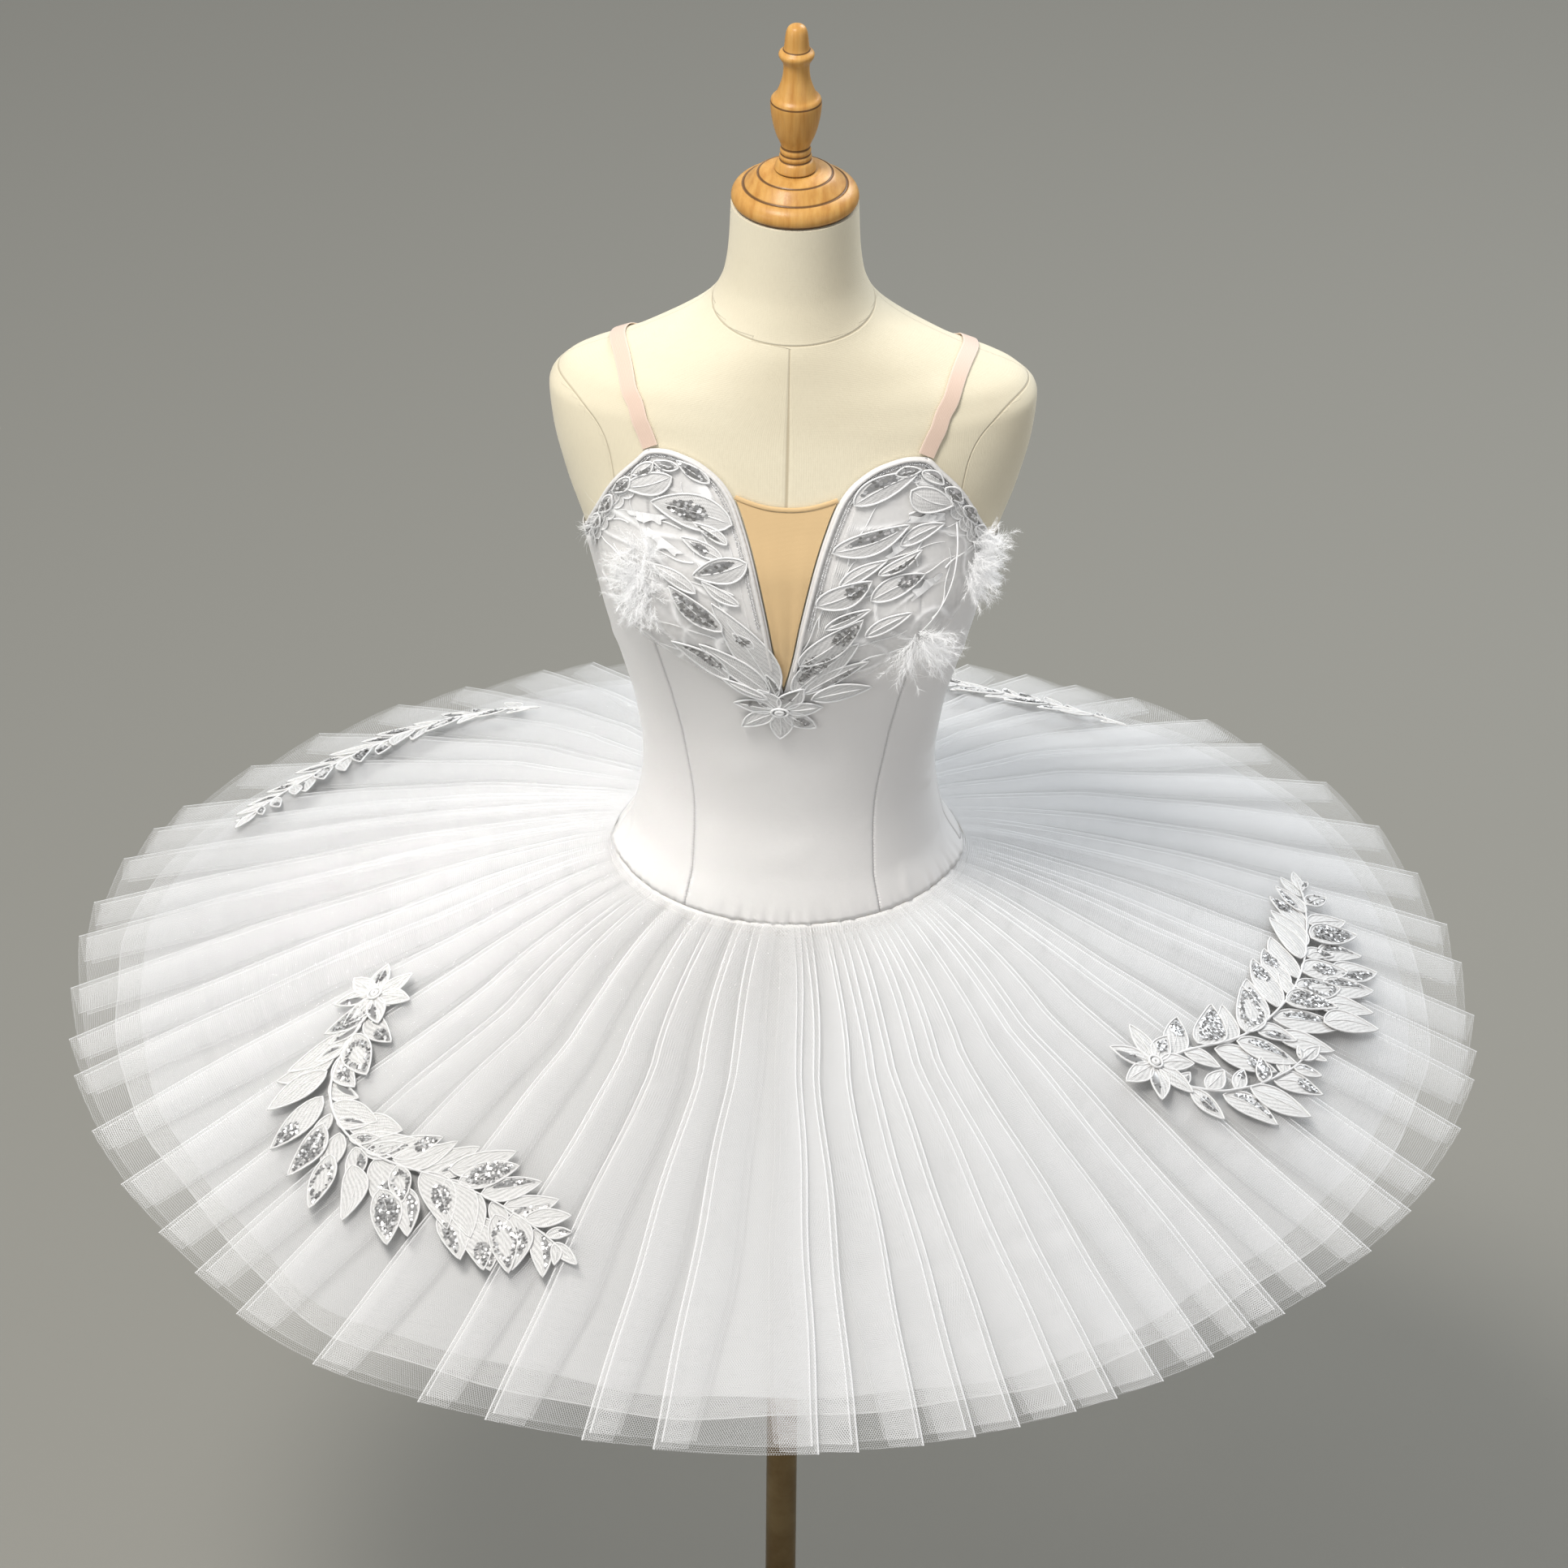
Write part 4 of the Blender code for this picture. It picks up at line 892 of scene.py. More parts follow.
def princess(height):
    """Angle of the princess seam at a height, on the right side."""
    return np.radians(follow(height, PRINCESS[:, 0], PRINCESS[:, 1]))


def hip_seam(angle):
    """Height of the hip seam, which dips in front as the cube of cos(angle)."""
    return HIP_SEAM_HEIGHT - HIP_SEAM_DIP * np.maximum(np.cos(angle), 0.0) ** 3


# ---------------------------------------------------------------- form and stand
def make_form():
    """The linen cover, with the distance to each of its sewn lines on every point. The
    arm seam is an oval (|u|^3 + |v|^3)^(1/3) = 1 round each arm plate."""
    columns = 220
    arm_angle, arm_height, arm_wide, arm_tall, power = 91.0, 1.262, 46.5, 0.0565, 3.0
    unseen = 0.01
    angle = all_round(columns)
    height = np.linspace(FORM_BOTTOM, NECK_TOP, 200)[:, None]
    points = form(angle, height)
    reach = np.hypot(points[..., 0], points[..., 1])
    turn = np.arctan2(np.sin(angle), np.cos(angle))
    neck = 1.380 - 0.0075 * np.cos(turn) + 0.003 * np.sin(turn) ** 2
    wide = math.radians(arm_wide) * reach
    across, up = (np.abs(turn) - math.radians(arm_angle)) * reach, height - arm_height
    u, v = np.abs(across / wide) + 1e-9, np.abs(up / arm_tall) + 1e-9
    oval = (u**power + v**power) ** (1 / power)
    steep = np.hypot(u ** (power - 1) / wide, v ** (power - 1) / arm_tall) * oval ** (1 - power)
    arm = (oval - 1.0) / steep
    behind = math.radians(9.0) * np.clip((height - 1.29) / 0.05, 0.0, 1.0)
    seams = {
        "neck_seam": height - neck + 0 * angle,
        "arm_seam": arm,
        "centre_seam": np.where(height > neck, unseen, np.sin(turn) * reach),
        "side_seam": np.where((arm > 0) & (height < neck), across - behind * reach, unseen),
    }
    uv = chart_uv(angle * BUST_RADIUS, height)
    parts = Parts()
    parts.grid(points[:, :-1], uv, ring=True, **{key: gap[:, :-1] for key, gap in seams.items()})
    lid = np.arange(columns)
    for row, order in ((0, lid[::-1]), (len(points) - 1, lid)):
        parts.add(points[row, :-1], order[None, :], uv[row, :-1], **dict.fromkeys(seams, unseen))
    settle(parts.make("form_cover", ["linen"]), "dress_form")


def make_stand():
    """The turned cap and finial, and the plate, pole and base that carry the form."""
    cap_grooves = ((0.0380, 1.4748, 0.0013), (0.0273, 1.4838, 0.0011), (0.0445, 1.4608, 0.0026))
    finial_grooves = (
        (0.0110, 1.4960, 0.0009), (0.0108, 1.5010, 0.0008), (0.0104, 1.5065, 0.0010),
        (0.0188, 1.5434, 0.0007), (0.0096, 1.5850, 0.0006), (0.0150, 1.4873, 0.0012),
    )
    for name, node, finish, profile, segments, grooves in (
        ("neck_cap_turned", "neck_cap", "maple", CAP_PROFILE, 96, cap_grooves),
        ("finial_turned", "finial", "maple", FINIAL_PROFILE, 72, finial_grooves),
        ("socket_plate", "form_socket", "brass", SOCKET_PROFILE, 96, ()),
        ("pole_tube", "pole", "brass", POLE_PROFILE, 64, ()),
        ("stand_base", "base", "brass", BASE_PROFILE, 128, ()),
    ):
        settle(turned(profile, segments, grooves).make(name, [finish]), node)


# ---------------------------------------------------------------- bodice
# Soft creases: angle and height at each end, half width, rise, all round the figure.
CREASES = np.array((
    (30.0, 0.968, 41.0, 0.978, 0.0030, 0.0008), (33.0, 0.985, 44.0, 0.990, 0.0026, -0.0007),
    (34.0, 1.002, 43.0, 1.003, 0.0024, 0.0006), (35.0, 1.020, 45.0, 1.016, 0.0028, 0.0006),
    (-40.0, 0.984, -52.0, 0.992, 0.0032, 0.0007), (-38.0, 1.006, -50.0, 1.004, 0.0030, -0.0006),
    (58.0, 0.990, 88.0, 0.976, 0.0050, 0.0009), (60.0, 1.012, 90.0, 1.004, 0.0052, -0.0009),
    (-60.0, 0.996, -90.0, 0.980, 0.0050, 0.0009), (-62.0, 1.016, -88.0, 1.010, 0.0048, -0.0008),
    (70.0, 1.110, 90.0, 1.085, 0.0060, 0.0009), (-68.0, 1.112, -90.0, 1.090, 0.0060, 0.0009),
    (98.0, 0.985, 135.0, 0.992, 0.0055, 0.0011), (96.0, 1.006, 140.0, 1.018, 0.0060, -0.0010),
    (-97.0, 0.984, -132.0, 0.996, 0.0055, 0.0011), (-96.0, 1.010, -138.0, 1.022, 0.0060, -0.0010),
    (150.0, 0.972, 176.0, 0.984, 0.0050, 0.0010), (-148.0, 0.974, -176.0, 0.980, 0.0052, 0.0009),
    (110.0, 1.130, 140.0, 1.100, 0.0070, 0.0008), (-112.0, 1.126, -142.0, 1.100, 0.0070, 0.0008),
    (-10.0, 0.945, 14.0, 0.962, 0.0110, 0.0007), (4.0, 1.030, 22.0, 1.045, 0.0120, -0.0006),
    (-24.0, 1.020, -4.0, 1.036, 0.0110, 0.0006), (70.0, 0.918, 84.0, 0.940, 0.0040, 0.0010),
    (-72.0, 0.918, -84.0, 0.940, 0.0040, 0.0010), (120.0, 0.915, 128.0, 0.945, 0.0050, 0.0010),
    (-122.0, 0.915, -130.0, 0.946, 0.0050, 0.0010), (44.0, 0.906, 50.0, 0.932, 0.0040, 0.0008),
))


def creases(angle, height):
    """Sum of creases: rise exp(-(across / width)^2) along a segment, tapering to its
    ends as 4 s (1 - s)."""
    total = 0.0
    for a0, z0, a1, z1, width, rise in CREASES:
        px, pz = WAIST_RADIUS * (angle - math.radians(a0)), height - z0
        dx, dz = WAIST_RADIUS * math.radians(a1 - a0), z1 - z0
        long = math.hypot(dx, dz)
        s = (px * dx + pz * dz) / long**2
        across = (px * dz - pz * dx) / long + 0.0012 * np.sin(9.0 * s)
        taper = np.clip(4 * s * (1 - s), 0, None)
        total = total + rise * np.exp(-(across / width) ** 2) * taper
    return total


def gathers(angle, height):
    """Small puckers just above the hip seam and the soft points at the side hips."""
    above = np.clip((height - hip_seam(angle)) / 0.020, 0.0, 1.0)
    pucker = 0.0006 * np.sin(88 * angle + 2.0 * np.sin(11 * angle)) * (1 - above) ** 2
    pucker = pucker + 0.0004 * np.sin(37 * angle + 3.0 * np.sin(5 * angle + 1)) * (1 - above)
    point = 0.0036 * np.exp(-((np.abs(angle) - math.radians(84.0)) / 0.20) ** 2)
    return pucker + point * np.clip(1 - (height - hip_seam(angle)) / 0.030, 0.0, 1.0) ** 2


def panel(word, seams, columns, rows):
    """A bodice panel: columns share out the width between two seams, rows run from the
    hip seam to the top edge; it dips into its seams and rolls over at its top edge."""
    shares = np.linspace(0.0, 1.0, columns)
    if word == "centre_front":
        edge = TOP_EDGE[:10, 0] / TOP_EDGE[9, 0]
        half = np.interp(np.linspace(0, 1, columns // 2 + 1), np.linspace(0, 1, 10), edge)
        shares = 0.5 + 0.5 * np.concatenate([-half[:0:-1], half])
    half_gap = 0.5 * 0.00012 / WAIST_RADIUS

    def column_angle(height):
        left, right = (seam(height) for seam in seams)
        return (left + half_gap) + (right - left - 2 * half_gap) * shares

    top, bottom = np.full_like(shares, 1.2), np.full_like(shares, HIP_SEAM_HEIGHT)
    for _ in range(40):
        top = 0.5 * top + 0.5 * top_edge(column_angle(top))
        bottom = hip_seam(column_angle(bottom))
    height = bottom + (top - bottom) * np.linspace(0.0, 1.0, rows)[:, None]
    angle = np.stack([column_angle(row) for row in height])
    base = form(angle, height, ON_PANEL)
    around, up = lengths(base, 1), lengths(base)
    seam_near = np.minimum(around, around[:, -1:] - around)
    dip = sum(
        deep * np.exp(-(far / wide) ** 2)
        for deep, far, wide in (
            (0.00045, seam_near, 0.0011), (0.0006, up[-1:] - up, 0.0012), (0.0005, up, 0.0022),
        )
    )
    lift = np.clip(creases(angle, height), -0.0010, 0.0012) + gathers(angle, height)
    lift = lift * (1 - np.exp(-(seam_near / 0.006) ** 2))
    parts = Parts()
    parts.grid(form(angle, height, ON_PANEL + lift - dip), chart_uv(around, height),
               seam_near=seam_near)
    piece = settle(parts.make(f"satin_{word}", ["satin"]), f"bodice_{word}")
    thicken(piece, 0.0010)


def mirrored(seam):
    """The same seam on the other side of the figure."""
    return lambda height: -seam(height)


def make_bodice():
    """Five satin panels, each between two seams: columns, rows, and cut size and area."""

    def side(height):
        return 0 * height + SIDE_SEAM

    def back(height):
        return 0 * height + math.pi

    left_side = (mirrored(side), mirrored(princess))
    for word, seams, columns, rows, flat in (
        ("centre_front", (mirrored(princess), princess), 96, 110, (0.190, 0.405, 0.062)),
        ("side_front_right", (princess, side), 56, 100, (0.150, 0.400, 0.046)),
        ("side_front_left", left_side, 56, 100, (0.150, 0.400, 0.046)),
        ("back_right", (side, back), 64, 84, (0.200, 0.290, 0.050)),
        ("back_left", (mirrored(back), mirrored(side)), 64, 84, (0.200, 0.290, 0.050)),
    ):
        panel(word, seams, columns, rows)


def make_mesh_insert():
    """Skin-coloured net that fills the V, drawn flat, and its narrow bound edge."""
    across = np.linspace(-1.0, 1.0, 41)
    top = INSERT_TOP + INSERT_DIP * across**2
    share = np.linspace(0.0, 1.0, 70)[:, None]
    height = V_BOTTOM + (top - V_BOTTOM) * share
    angle = across * (top_edge_angle(height) - 0.0007 / WAIST_RADIUS)
    pull = 0.00025 * np.sin(7 * across + 5 * share) * np.sin(math.pi * share)
    points = form(angle, height, BODICE_CLEARANCE + 0.0008 + pull)
    parts = Parts()
    parts.grid(points, chart_uv(lengths(points, 1), height))
    piece = settle(parts.make("nude_insert", ["mesh"]), "mesh_insert")

    binding, flatten = 0.0018, 0.55
    height = top + 0.0021
    angle = across * (top_edge_angle(height) - 0.0010 / WAIST_RADIUS)
    path = form(angle, height, BODICE_CLEARANCE + 0.0011)
    normal = form_normal(angle, height)
    ring = tube(path, binding, 12, normal)
    rise = ((ring - path[:, None]) * normal[:, None]).sum(-1, keepdims=True)
    ring = ring - flatten * rise * normal[:, None]
    parts = Parts()
    parts.grid(ring, tube_uv(path, binding, 12), ring=True, flip=True)
    settle(parts.make("insert_binding", ["mesh"]), "mesh_insert_binding")


def edge_line(side, first, last, inward, out, count):
    """Points beside the top edge, and the form's normals there: inward is the distance
    in from the edge, on the surface."""
    angle = np.radians(np.linspace(first, last, 400))
    far = lengths(form(side * angle, top_edge(angle)))
    angle = np.interp(np.linspace(0, far[-1], count), far, angle)
    height = top_edge(angle)
    along = unit(np.gradient(form(side * angle, height), axis=0))
    flat = np.hypot(along[:, 0], along[:, 1])
    sideways, upwards = side * inward * along[:, 2], -inward * flat
    path = form_walk(side * angle, height, sideways, upwards, out)
    return path, form_normal(side * angle + sideways / BUST_RADIUS, height + upwards)


def ball(sides=6, levels=3):
    """Points and faces of a small faceted ball of radius 1."""
    a = np.arange(sides) * 2 * math.pi / sides
    tilt = np.linspace(-1.0, 1.0, levels + 2)[1:-1] * math.pi / 2
    rings = np.stack([
        np.cos(tilt)[:, None] * np.cos(a), np.cos(tilt)[:, None] * np.sin(a),
        np.sin(tilt)[:, None] + 0 * a], -1).reshape(-1, 3)
    points = np.concatenate([rings, [[0, 0, -1], [0, 0, 1]]])
    bottom, top = levels * sides, levels * sides + 1
    faces = []
    for j in range(sides):
        k = (j + 1) % sides
        for low, high in ((i * sides, (i + 1) * sides) for i in range(levels - 1)):
            faces += [(low + j, low + k, high + k), (low + j, high + k, high + j)]
        faces += [(bottom, k, j), (top, (levels - 1) * sides + j, (levels - 1) * sides + k)]
    return points, np.array(faces)


def add_beads(parts, places, radius, tone):
    """A small ball at each place, with its own radius and tone."""
    points, faces = ball()
    everything = places[:, None] + points[None] * np.reshape(radius, (-1, 1, 1))
    index = faces[None] + np.arange(len(places))[:, None, None] * len(points)
    parts.add(everything, index.reshape(-1, 3), tone=np.repeat(tone, len(points)))


def make_edges(rng):
    """White piping and two rows of beads along the V and each cup."""
    for side, word in SIDES:
        path, normal = edge_line(side, 1.5, 66.0, 0.0019, ON_TRIM + 0.0006, 190)
        bulge = 0.0015 + 0.00010 * np.sin(np.arange(190) * 1.9)
        parts = Parts()
        add_tube(parts, smoothed(path, 10), bulge, 12, normal, seam_near=0.01)
        settle(parts.make(f"piping_{word}", ["satin"]), f"edge_piping_{word}")

        parts = Parts()
        for inward, count in ((0.0042, 230), (0.0053, 226)):
            path, _ = edge_line(side, 3.4, 66.0, inward, ON_TRIM + 0.0002, count)
            jitter = rng.normal(0, 0.00014, path.shape)
            radius = rng.uniform(0.00045, 0.00062, count)
            add_beads(parts, path + jitter, radius, rng.uniform(0, 1, count))
        settle(parts.make(f"beading_{word}", ["beads"]), f"silver_braid_{word}")


def strap_line():
    """Angle and height along a strap drawn tight. In front each point keeps a distance
    x from the middle plane that changes evenly with z cos 32.5 + y sin 32.5 from the cup
    to the crest of the shoulder; behind, x changes evenly with z down to the back edge."""
    cup, crest, back = 0.1013, 0.1280, 0.0590
    tilt = math.radians(32.5)
    z = np.linspace(1.2800, 1.3440, 700)
    half, front, square = (follow(z, SECTIONS[:, 0], SECTIONS[:, k]) for k in (1, 2, 4))

    def angle_at(x):
        return np.arcsin(np.clip(x / half, 0.0, 1.0) ** (square / 2))

    def rise_at(x):
        return z * math.cos(tilt) - front * np.cos(angle_at(x)) ** (2 / square) * math.sin(tilt)

    crest_z = float(np.interp(-crest, -half[half < 0.181], z[half < 0.181]))
    first = float(np.interp(1.2912, z, rise_at(cup)))
    last = crest_z * math.cos(tilt)
    line = []
    for share in np.linspace(0.0, 0.97, 30):
        x = cup + (crest - cup) * share
        on = z < crest_z + 0.0001
        height = float(np.interp(first + (last - first) * share, rise_at(x)[on], z[on]))
        line.append((float(np.interp(height, z, angle_at(x))), height))
    down = np.linspace(crest_z - 0.0025, 1.1682, 60)
    low, high = np.full(60, math.pi), np.full(60, math.pi / 2)
    wanted = crest + (back - crest) * np.linspace(0.0, 1.0, 60)
    for _ in range(40):
        middle = (low + high) / 2
        inside = level_section(middle, down)[:, 0] < wanted
        low, high = np.where(inside, middle, low), np.where(inside, high, middle)
    line = np.concatenate([line, [[math.pi / 2, crest_z]], np.stack([middle, down], 1)])
    return smoothed(evenly(line, lengths(form(*line.T)), 90), 14).T


def make_straps():
    """Flat ribbed elastic from the cup over the shoulder to the top of the back, drawn
    tight, so it bridges hollows of the form."""
    angle, height = strap_line()
    turn = np.linspace(0, 2 * math.pi, 25)[:-1]
    wide, thin = 0.00625, 0.0005
    shape = np.stack([
        wide * np.sign(np.cos(turn)) * np.abs(np.cos(turn)) ** 0.25,
        thin * np.sign(np.sin(turn)) * np.abs(np.sin(turn)) ** 0.6], -1)
    for side, word in SIDES:
        normal = form_normal(side * angle, height)
        for _ in range(60):
            normal[1:-1] = unit(normal[:-2] + 2 * normal[1:-1] + normal[2:])
        lowest = form(side * angle, height) + 0.0016 * normal
        centre = lowest.copy()
        for _ in range(900):
            pull = (centre[:-2] + centre[2:]) / 2 - centre[1:-1]
            rise = ((centre[1:-1] + pull - lowest[1:-1]) * normal[1:-1]).sum(1, keepdims=True)
            centre[1:-1] = lowest[1:-1] + np.maximum(rise, 0.0) * normal[1:-1]
        along = unit(np.gradient(centre, axis=0))
        across = unit(np.cross(along, normal))
        normal = np.cross(across, along)
        points = (
            centre[:, None] + shape[None, :, :1] * across[:, None]
            + shape[None, :, 1:] * normal[:, None]
        )
        far = lengths(centre)
        uv = chart_uv(np.append(shape[:, 0], shape[0, 0])[None, :], far[:, None])
        parts = Parts()
        parts.grid(points, uv, ring=True, flip=True)
        for row, order in ((0, np.arange(24)), (89, np.arange(24)[::-1])):
            parts.add(points[row], order[None, :], uv[row, :-1])
        piece = settle(parts.make(f"elastic_strap_{word}", ["elastic"]), f"strap_{word}")


# ---------------------------------------------------------------- skirt
def hem_radius(angle):
    """Distance of the top net's hem from the axis, right round."""
    from_front = np.degrees(np.arctan2(np.sin(angle), np.cos(angle)))
    return follow(from_front, HEM[:, 0], HEM[:, 1])


def seam_ring(angle, below):
    """Radius, angle and height just outside the yoke, where a layer is sewn to it."""
    height = hip_seam(angle) - SKIRT_BELOW_SEAM - below
    lowest = level_section(angle, height - NET_WALL)
    radius = np.hypot(lowest[..., 0], lowest[..., 1]) + BODICE_CLEARANCE + YOKE_WALL + 0.0006
    return radius, np.arctan2(lowest[..., 0], -lowest[..., 1]), height


def hem_height(angle):
    """Height of the hem, which rises behind as (1 - cos(angle)) / 2."""
    return HEM_HEIGHT + HEM_BACK_RISE * (1 - np.cos(angle)) / 2


def waves(angle, share):
    """Slow uneven rise and fall of the whole disc, growing to the hem."""
    slow = (
        0.0018 * np.sin(3 * angle + 0.7) + 0.0014 * np.sin(5 * angle + 2.1)
        + 0.0011 * np.sin(8 * angle + 4.0) + 0.0008 * np.sin(13 * angle + 1.2)
    )
    return slow * share**2


def skirt(angle, share, layer, short_by=0.0, lift=0.0):
    """Points of a layer: the radius runs straight out from seam to edge, the height
    droops by a power of the way out, plus the waves."""
    below_seam, below_edge = layer
    seam_radius, seam_angle, seam_height = seam_ring(angle, below_seam)
    hem = hem_radius(angle)
    radius = seam_radius + (hem - short_by - seam_radius) * share
    turn = np.arctan2(np.sin(angle - seam_angle), np.cos(angle - seam_angle))
    direction = seam_angle + turn * np.minimum(1.0, 3.0 * share)
    along = (radius - seam_radius) / (hem - seam_radius)
    drop = seam_height - (hem_height(angle) - below_edge)
    height = seam_height - drop * along**SKIRT_CURVE + lift + waves(angle, share)
    return np.stack([radius * np.sin(direction), -radius * np.cos(direction), height], -1)


def pleat_growth(share, angle=0.0):
    """Rise of a pleat as a share of its rise at the front hem: 0.62 at the seam, where
    it is gathered up sharply, fuller half way out, and higher at the sides."""
    gathered = 0.10 * (1 - np.exp(-share / 0.03)) * (1 - share) + 0.34 * np.sin(math.pi * share)
    return 0.62 + 0.38 * share + gathered + 0.45 * share**3 * np.sin(angle) ** 2


def pleat_plan(side, rng):
    """Fold edges of one half of the net: angles, and the depth of each at the hem. The
    pleats are closer at the front right and wider at the front left, and the last one
    meets its twin at the centre back."""
    widths = (38, 39, 57, 59) if side > 0 else (68, 70, 58, 58)
    folds, depths, at, depth = [], [], 0.0, 0.024
    while True:
        millimetres = np.interp(math.degrees(at), (0, 46, 64, 180), widths)
        at += millimetres * rng.uniform(0.66, 1.34) / 1000.0 / PLEAT_RADIUS
        if at > math.pi - 0.035:
            break
        depth = 0.45 * depth + 0.55 * rng.uniform(0.009, 0.040)
        folds.append(at)
        depths.append(depth)
    return np.array(folds) * (math.pi - 0.02) / folds[-1], np.array(depths)


def pleated_half(side, radius, share, ply, rng):
    """One half of a ply as a folded path round the figure, for each row's radius.

    From an inner fold B the cloth runs forwards and up to the fold edge A, turns, runs
    back and down to the next inner fold, and turns again. Heights go as t^p between
    0 and 1 of the pleat's rise, so the path never crosses itself. Returns angles,
    heights as a share of the rise, cloth lengths, and 1 on fold edges.
    """
    folds, depths = pleat_plan(side, rng)
    step_back = rng.uniform(0.0025, 0.0055, len(folds)) * ply
    gaps = np.diff(np.concatenate([[0.0], folds]))
    r, s = radius[:, None], share[:, None]
    depth = (gaps * PLEAT_RADIUS + 2 * depths - gaps * r) / 2
    depth = np.minimum(depth, 0.010 + 0.008 * np.sin(math.pi * s) + depths * s**1.5)
    depth[:, 0] = np.minimum(depth[:, 0], 0.7 * folds[0] * radius)
    ride = 0.0045 * np.sin(17.0 * s + 5.0 * np.arange(len(folds))) * s * (1 - s)
    a = folds * r + ride - step_back
    b = a - depth
    start = np.concatenate([np.zeros_like(r), b[:, :-1]], 1)
    a, b, start, depth = (column[..., None] for column in (a, b, start, depth))
    nose = np.minimum(0.00045, 0.08 * depth)
    run = a - nose - start
    even = np.array([0.0, 0.12, 0.27, 0.43, 0.58, 0.73, 0.86])
    t = np.concatenate([even + 0 * run, 1 - np.minimum(0.0017 / run, 0.07)], -1)
    up = t ** np.clip(0.95 * (a - start) / depth, 1.0, 1.5)
    up[:, 0] = 1.0
    pleats = np.concatenate([
        start + run * t, a - nose * np.array([1.0, 0.0, 1.0]),
        a - nose - (depth - 2 * nose) * np.array([0.3, 0.65]), b + nose * np.array([1.0, 0.0]),
    ], -1)
    tail = b[:, -1] + (math.pi * r - b[:, -1]) * np.linspace(0.12, 1.0, 7)

    def whole(forward, back):
        """Rows of a value along every pleat, then 0 along the flat tail."""
        back = np.broadcast_to(back, forward.shape[:2] + (7,))
        pleats = np.concatenate([forward, back], -1).reshape(len(r), -1)
        return np.concatenate([pleats, 0 * tail], 1)

    around = np.concatenate([pleats.reshape(len(r), -1), tail], 1)
    rise = whole(up, (1.0, 0.94, 0.88, 0.64, 0.36, 0.08, 0.04))
    mark = whole(0 * up, (0.9, 1.0, 0.0, 0.0, 0.0, 0.0, 1.0))
    return around / r, rise, lengths(around[..., None], 1), mark


def make_pleated_net(name, node, ply, short_by, lower):
    """One ply of net laid in uneven knife pleats, its halves meeting front and back."""
    share = np.concatenate([np.linspace(0.0, 0.12, 7)[:-1], np.linspace(0.12, 1.0, 27)])
    radius = SEAM_RADIUS + (HEM_RADIUS - SEAM_RADIUS) * share
    halves = []
    for side, _ in SIDES:
        rng = np.random.default_rng(40 + side)
        angle, rise, far, mark = pleated_half(side, radius, share, ply, rng)
        halves.append((side * angle, rise, side * far, mark))
    angle, rise, far, mark = (
        np.concatenate([left[:, -2:0:-1], right], 1) for left, right in zip(*halves)
    )
    rows = share[:, None]
    behind = np.clip(-np.cos(angle), 0.0, 1.0) ** 2
    crest = np.sin(0.5 * math.pi * rise)
    rise = rise + (crest - rise) * 0.8 * behind
    height = PLEAT_RISE * pleat_growth(rows, angle)
    lift = height * rise - lower * np.minimum(pleat_growth(rows), 1.0)
    reach = PLEAT_REACH * (1 - rise) * rows**2
    points = skirt(angle, rows + 0 * angle, (0.0, 0.0), short_by + reach, lift)
    out = lengths(points)
    uv = chart_uv(
        np.concatenate([far, far[:, -1:] + 0.02], 1), np.concatenate([out, out[:, :1]], 1)
    )
    parts = Parts()
    mark = mark * np.clip((rows + 0.03) / 0.12, 0.0, 1.0)
    parts.grid(points, uv, ring=True, flip=True, fold=mark, rise=rise, rim=out[-1:] - out)
    piece = settle(parts.make(name, ["net"]), node)


def make_plates():
    """Two flat circles of closer net under the pleats, with gently wavy edges."""
    angle, share = all_round(360, -math.pi), np.linspace(0.0, 1.0, 30)[:, None]
    middle_radius = 0.35
    for word, short_by, layer, phase, wide, area in (
        ("upper", 0.037, (0.0050, 0.0070), 0.8, 1.04, 0.80),
        ("lower", 0.055, (0.0075, 0.0105), 2.3, 1.00, 0.74),
    ):
        edge = 0.35 * np.sin(5 * angle + phase) + 0.25 * np.sin(11 * angle)
        ripple = 0.004 * (edge + 0.2 * np.sin(23 * angle + phase)) * share**2
        points = skirt(angle, share + 0 * angle, layer, short_by + ripple, 0.8 * ripple)
        out = lengths(points)
        rim = (out[-1:] - out)[:, :-1]
        parts = Parts()
        uv = chart_uv(angle * middle_radius, out)
        parts.grid(points[:, :-1], uv, ring=True, flip=True, rim=rim)
        piece = settle(parts.make(f"{word}_plate", [word]), f"plate_{word}")


def make_yoke():
    """The satin band under the hip seam that the layers are sewn to."""
    angle, share = all_round(240, -math.pi), np.linspace(0, 1, 16)[:, None]
    top = hip_seam(angle) - 0.0003
    height = YOKE_BOTTOM + (top - YOKE_BOTTOM) * share
    ease = 0.00025 * np.sin(60 * angle + 3 * np.sin(7 * angle)) * (1 - share)
    points = form(angle, height, BODICE_CLEARANCE + 0.0008 + ease)
    parts = Parts()
    parts.grid(points[:, :-1], chart_uv(angle * 0.14, height), ring=True, seam_near=0.01)
    piece = thicken(settle(parts.make("yoke_band", ["satin"]), "knicker_yoke"), 0.0008)


def make_skirt():
    """The yoke, and the two flat plates and two pleated plies that are sewn to it."""
    make_yoke()
    make_plates()
    make_pleated_net("pleated_net_top", "net_top", 0, 0.0, 0.0)
    make_pleated_net("pleated_net_under", "net_second", 1, 0.007, 0.0010)


# ---------------------------------------------------------------- embroidery
def on_bodice(chart, out):
    """Chart on the bodice: metres round at the chart's radius, height."""
    return form(chart[..., 0] / CHART_RADIUS, chart[..., 1], ON_TRIM + out)


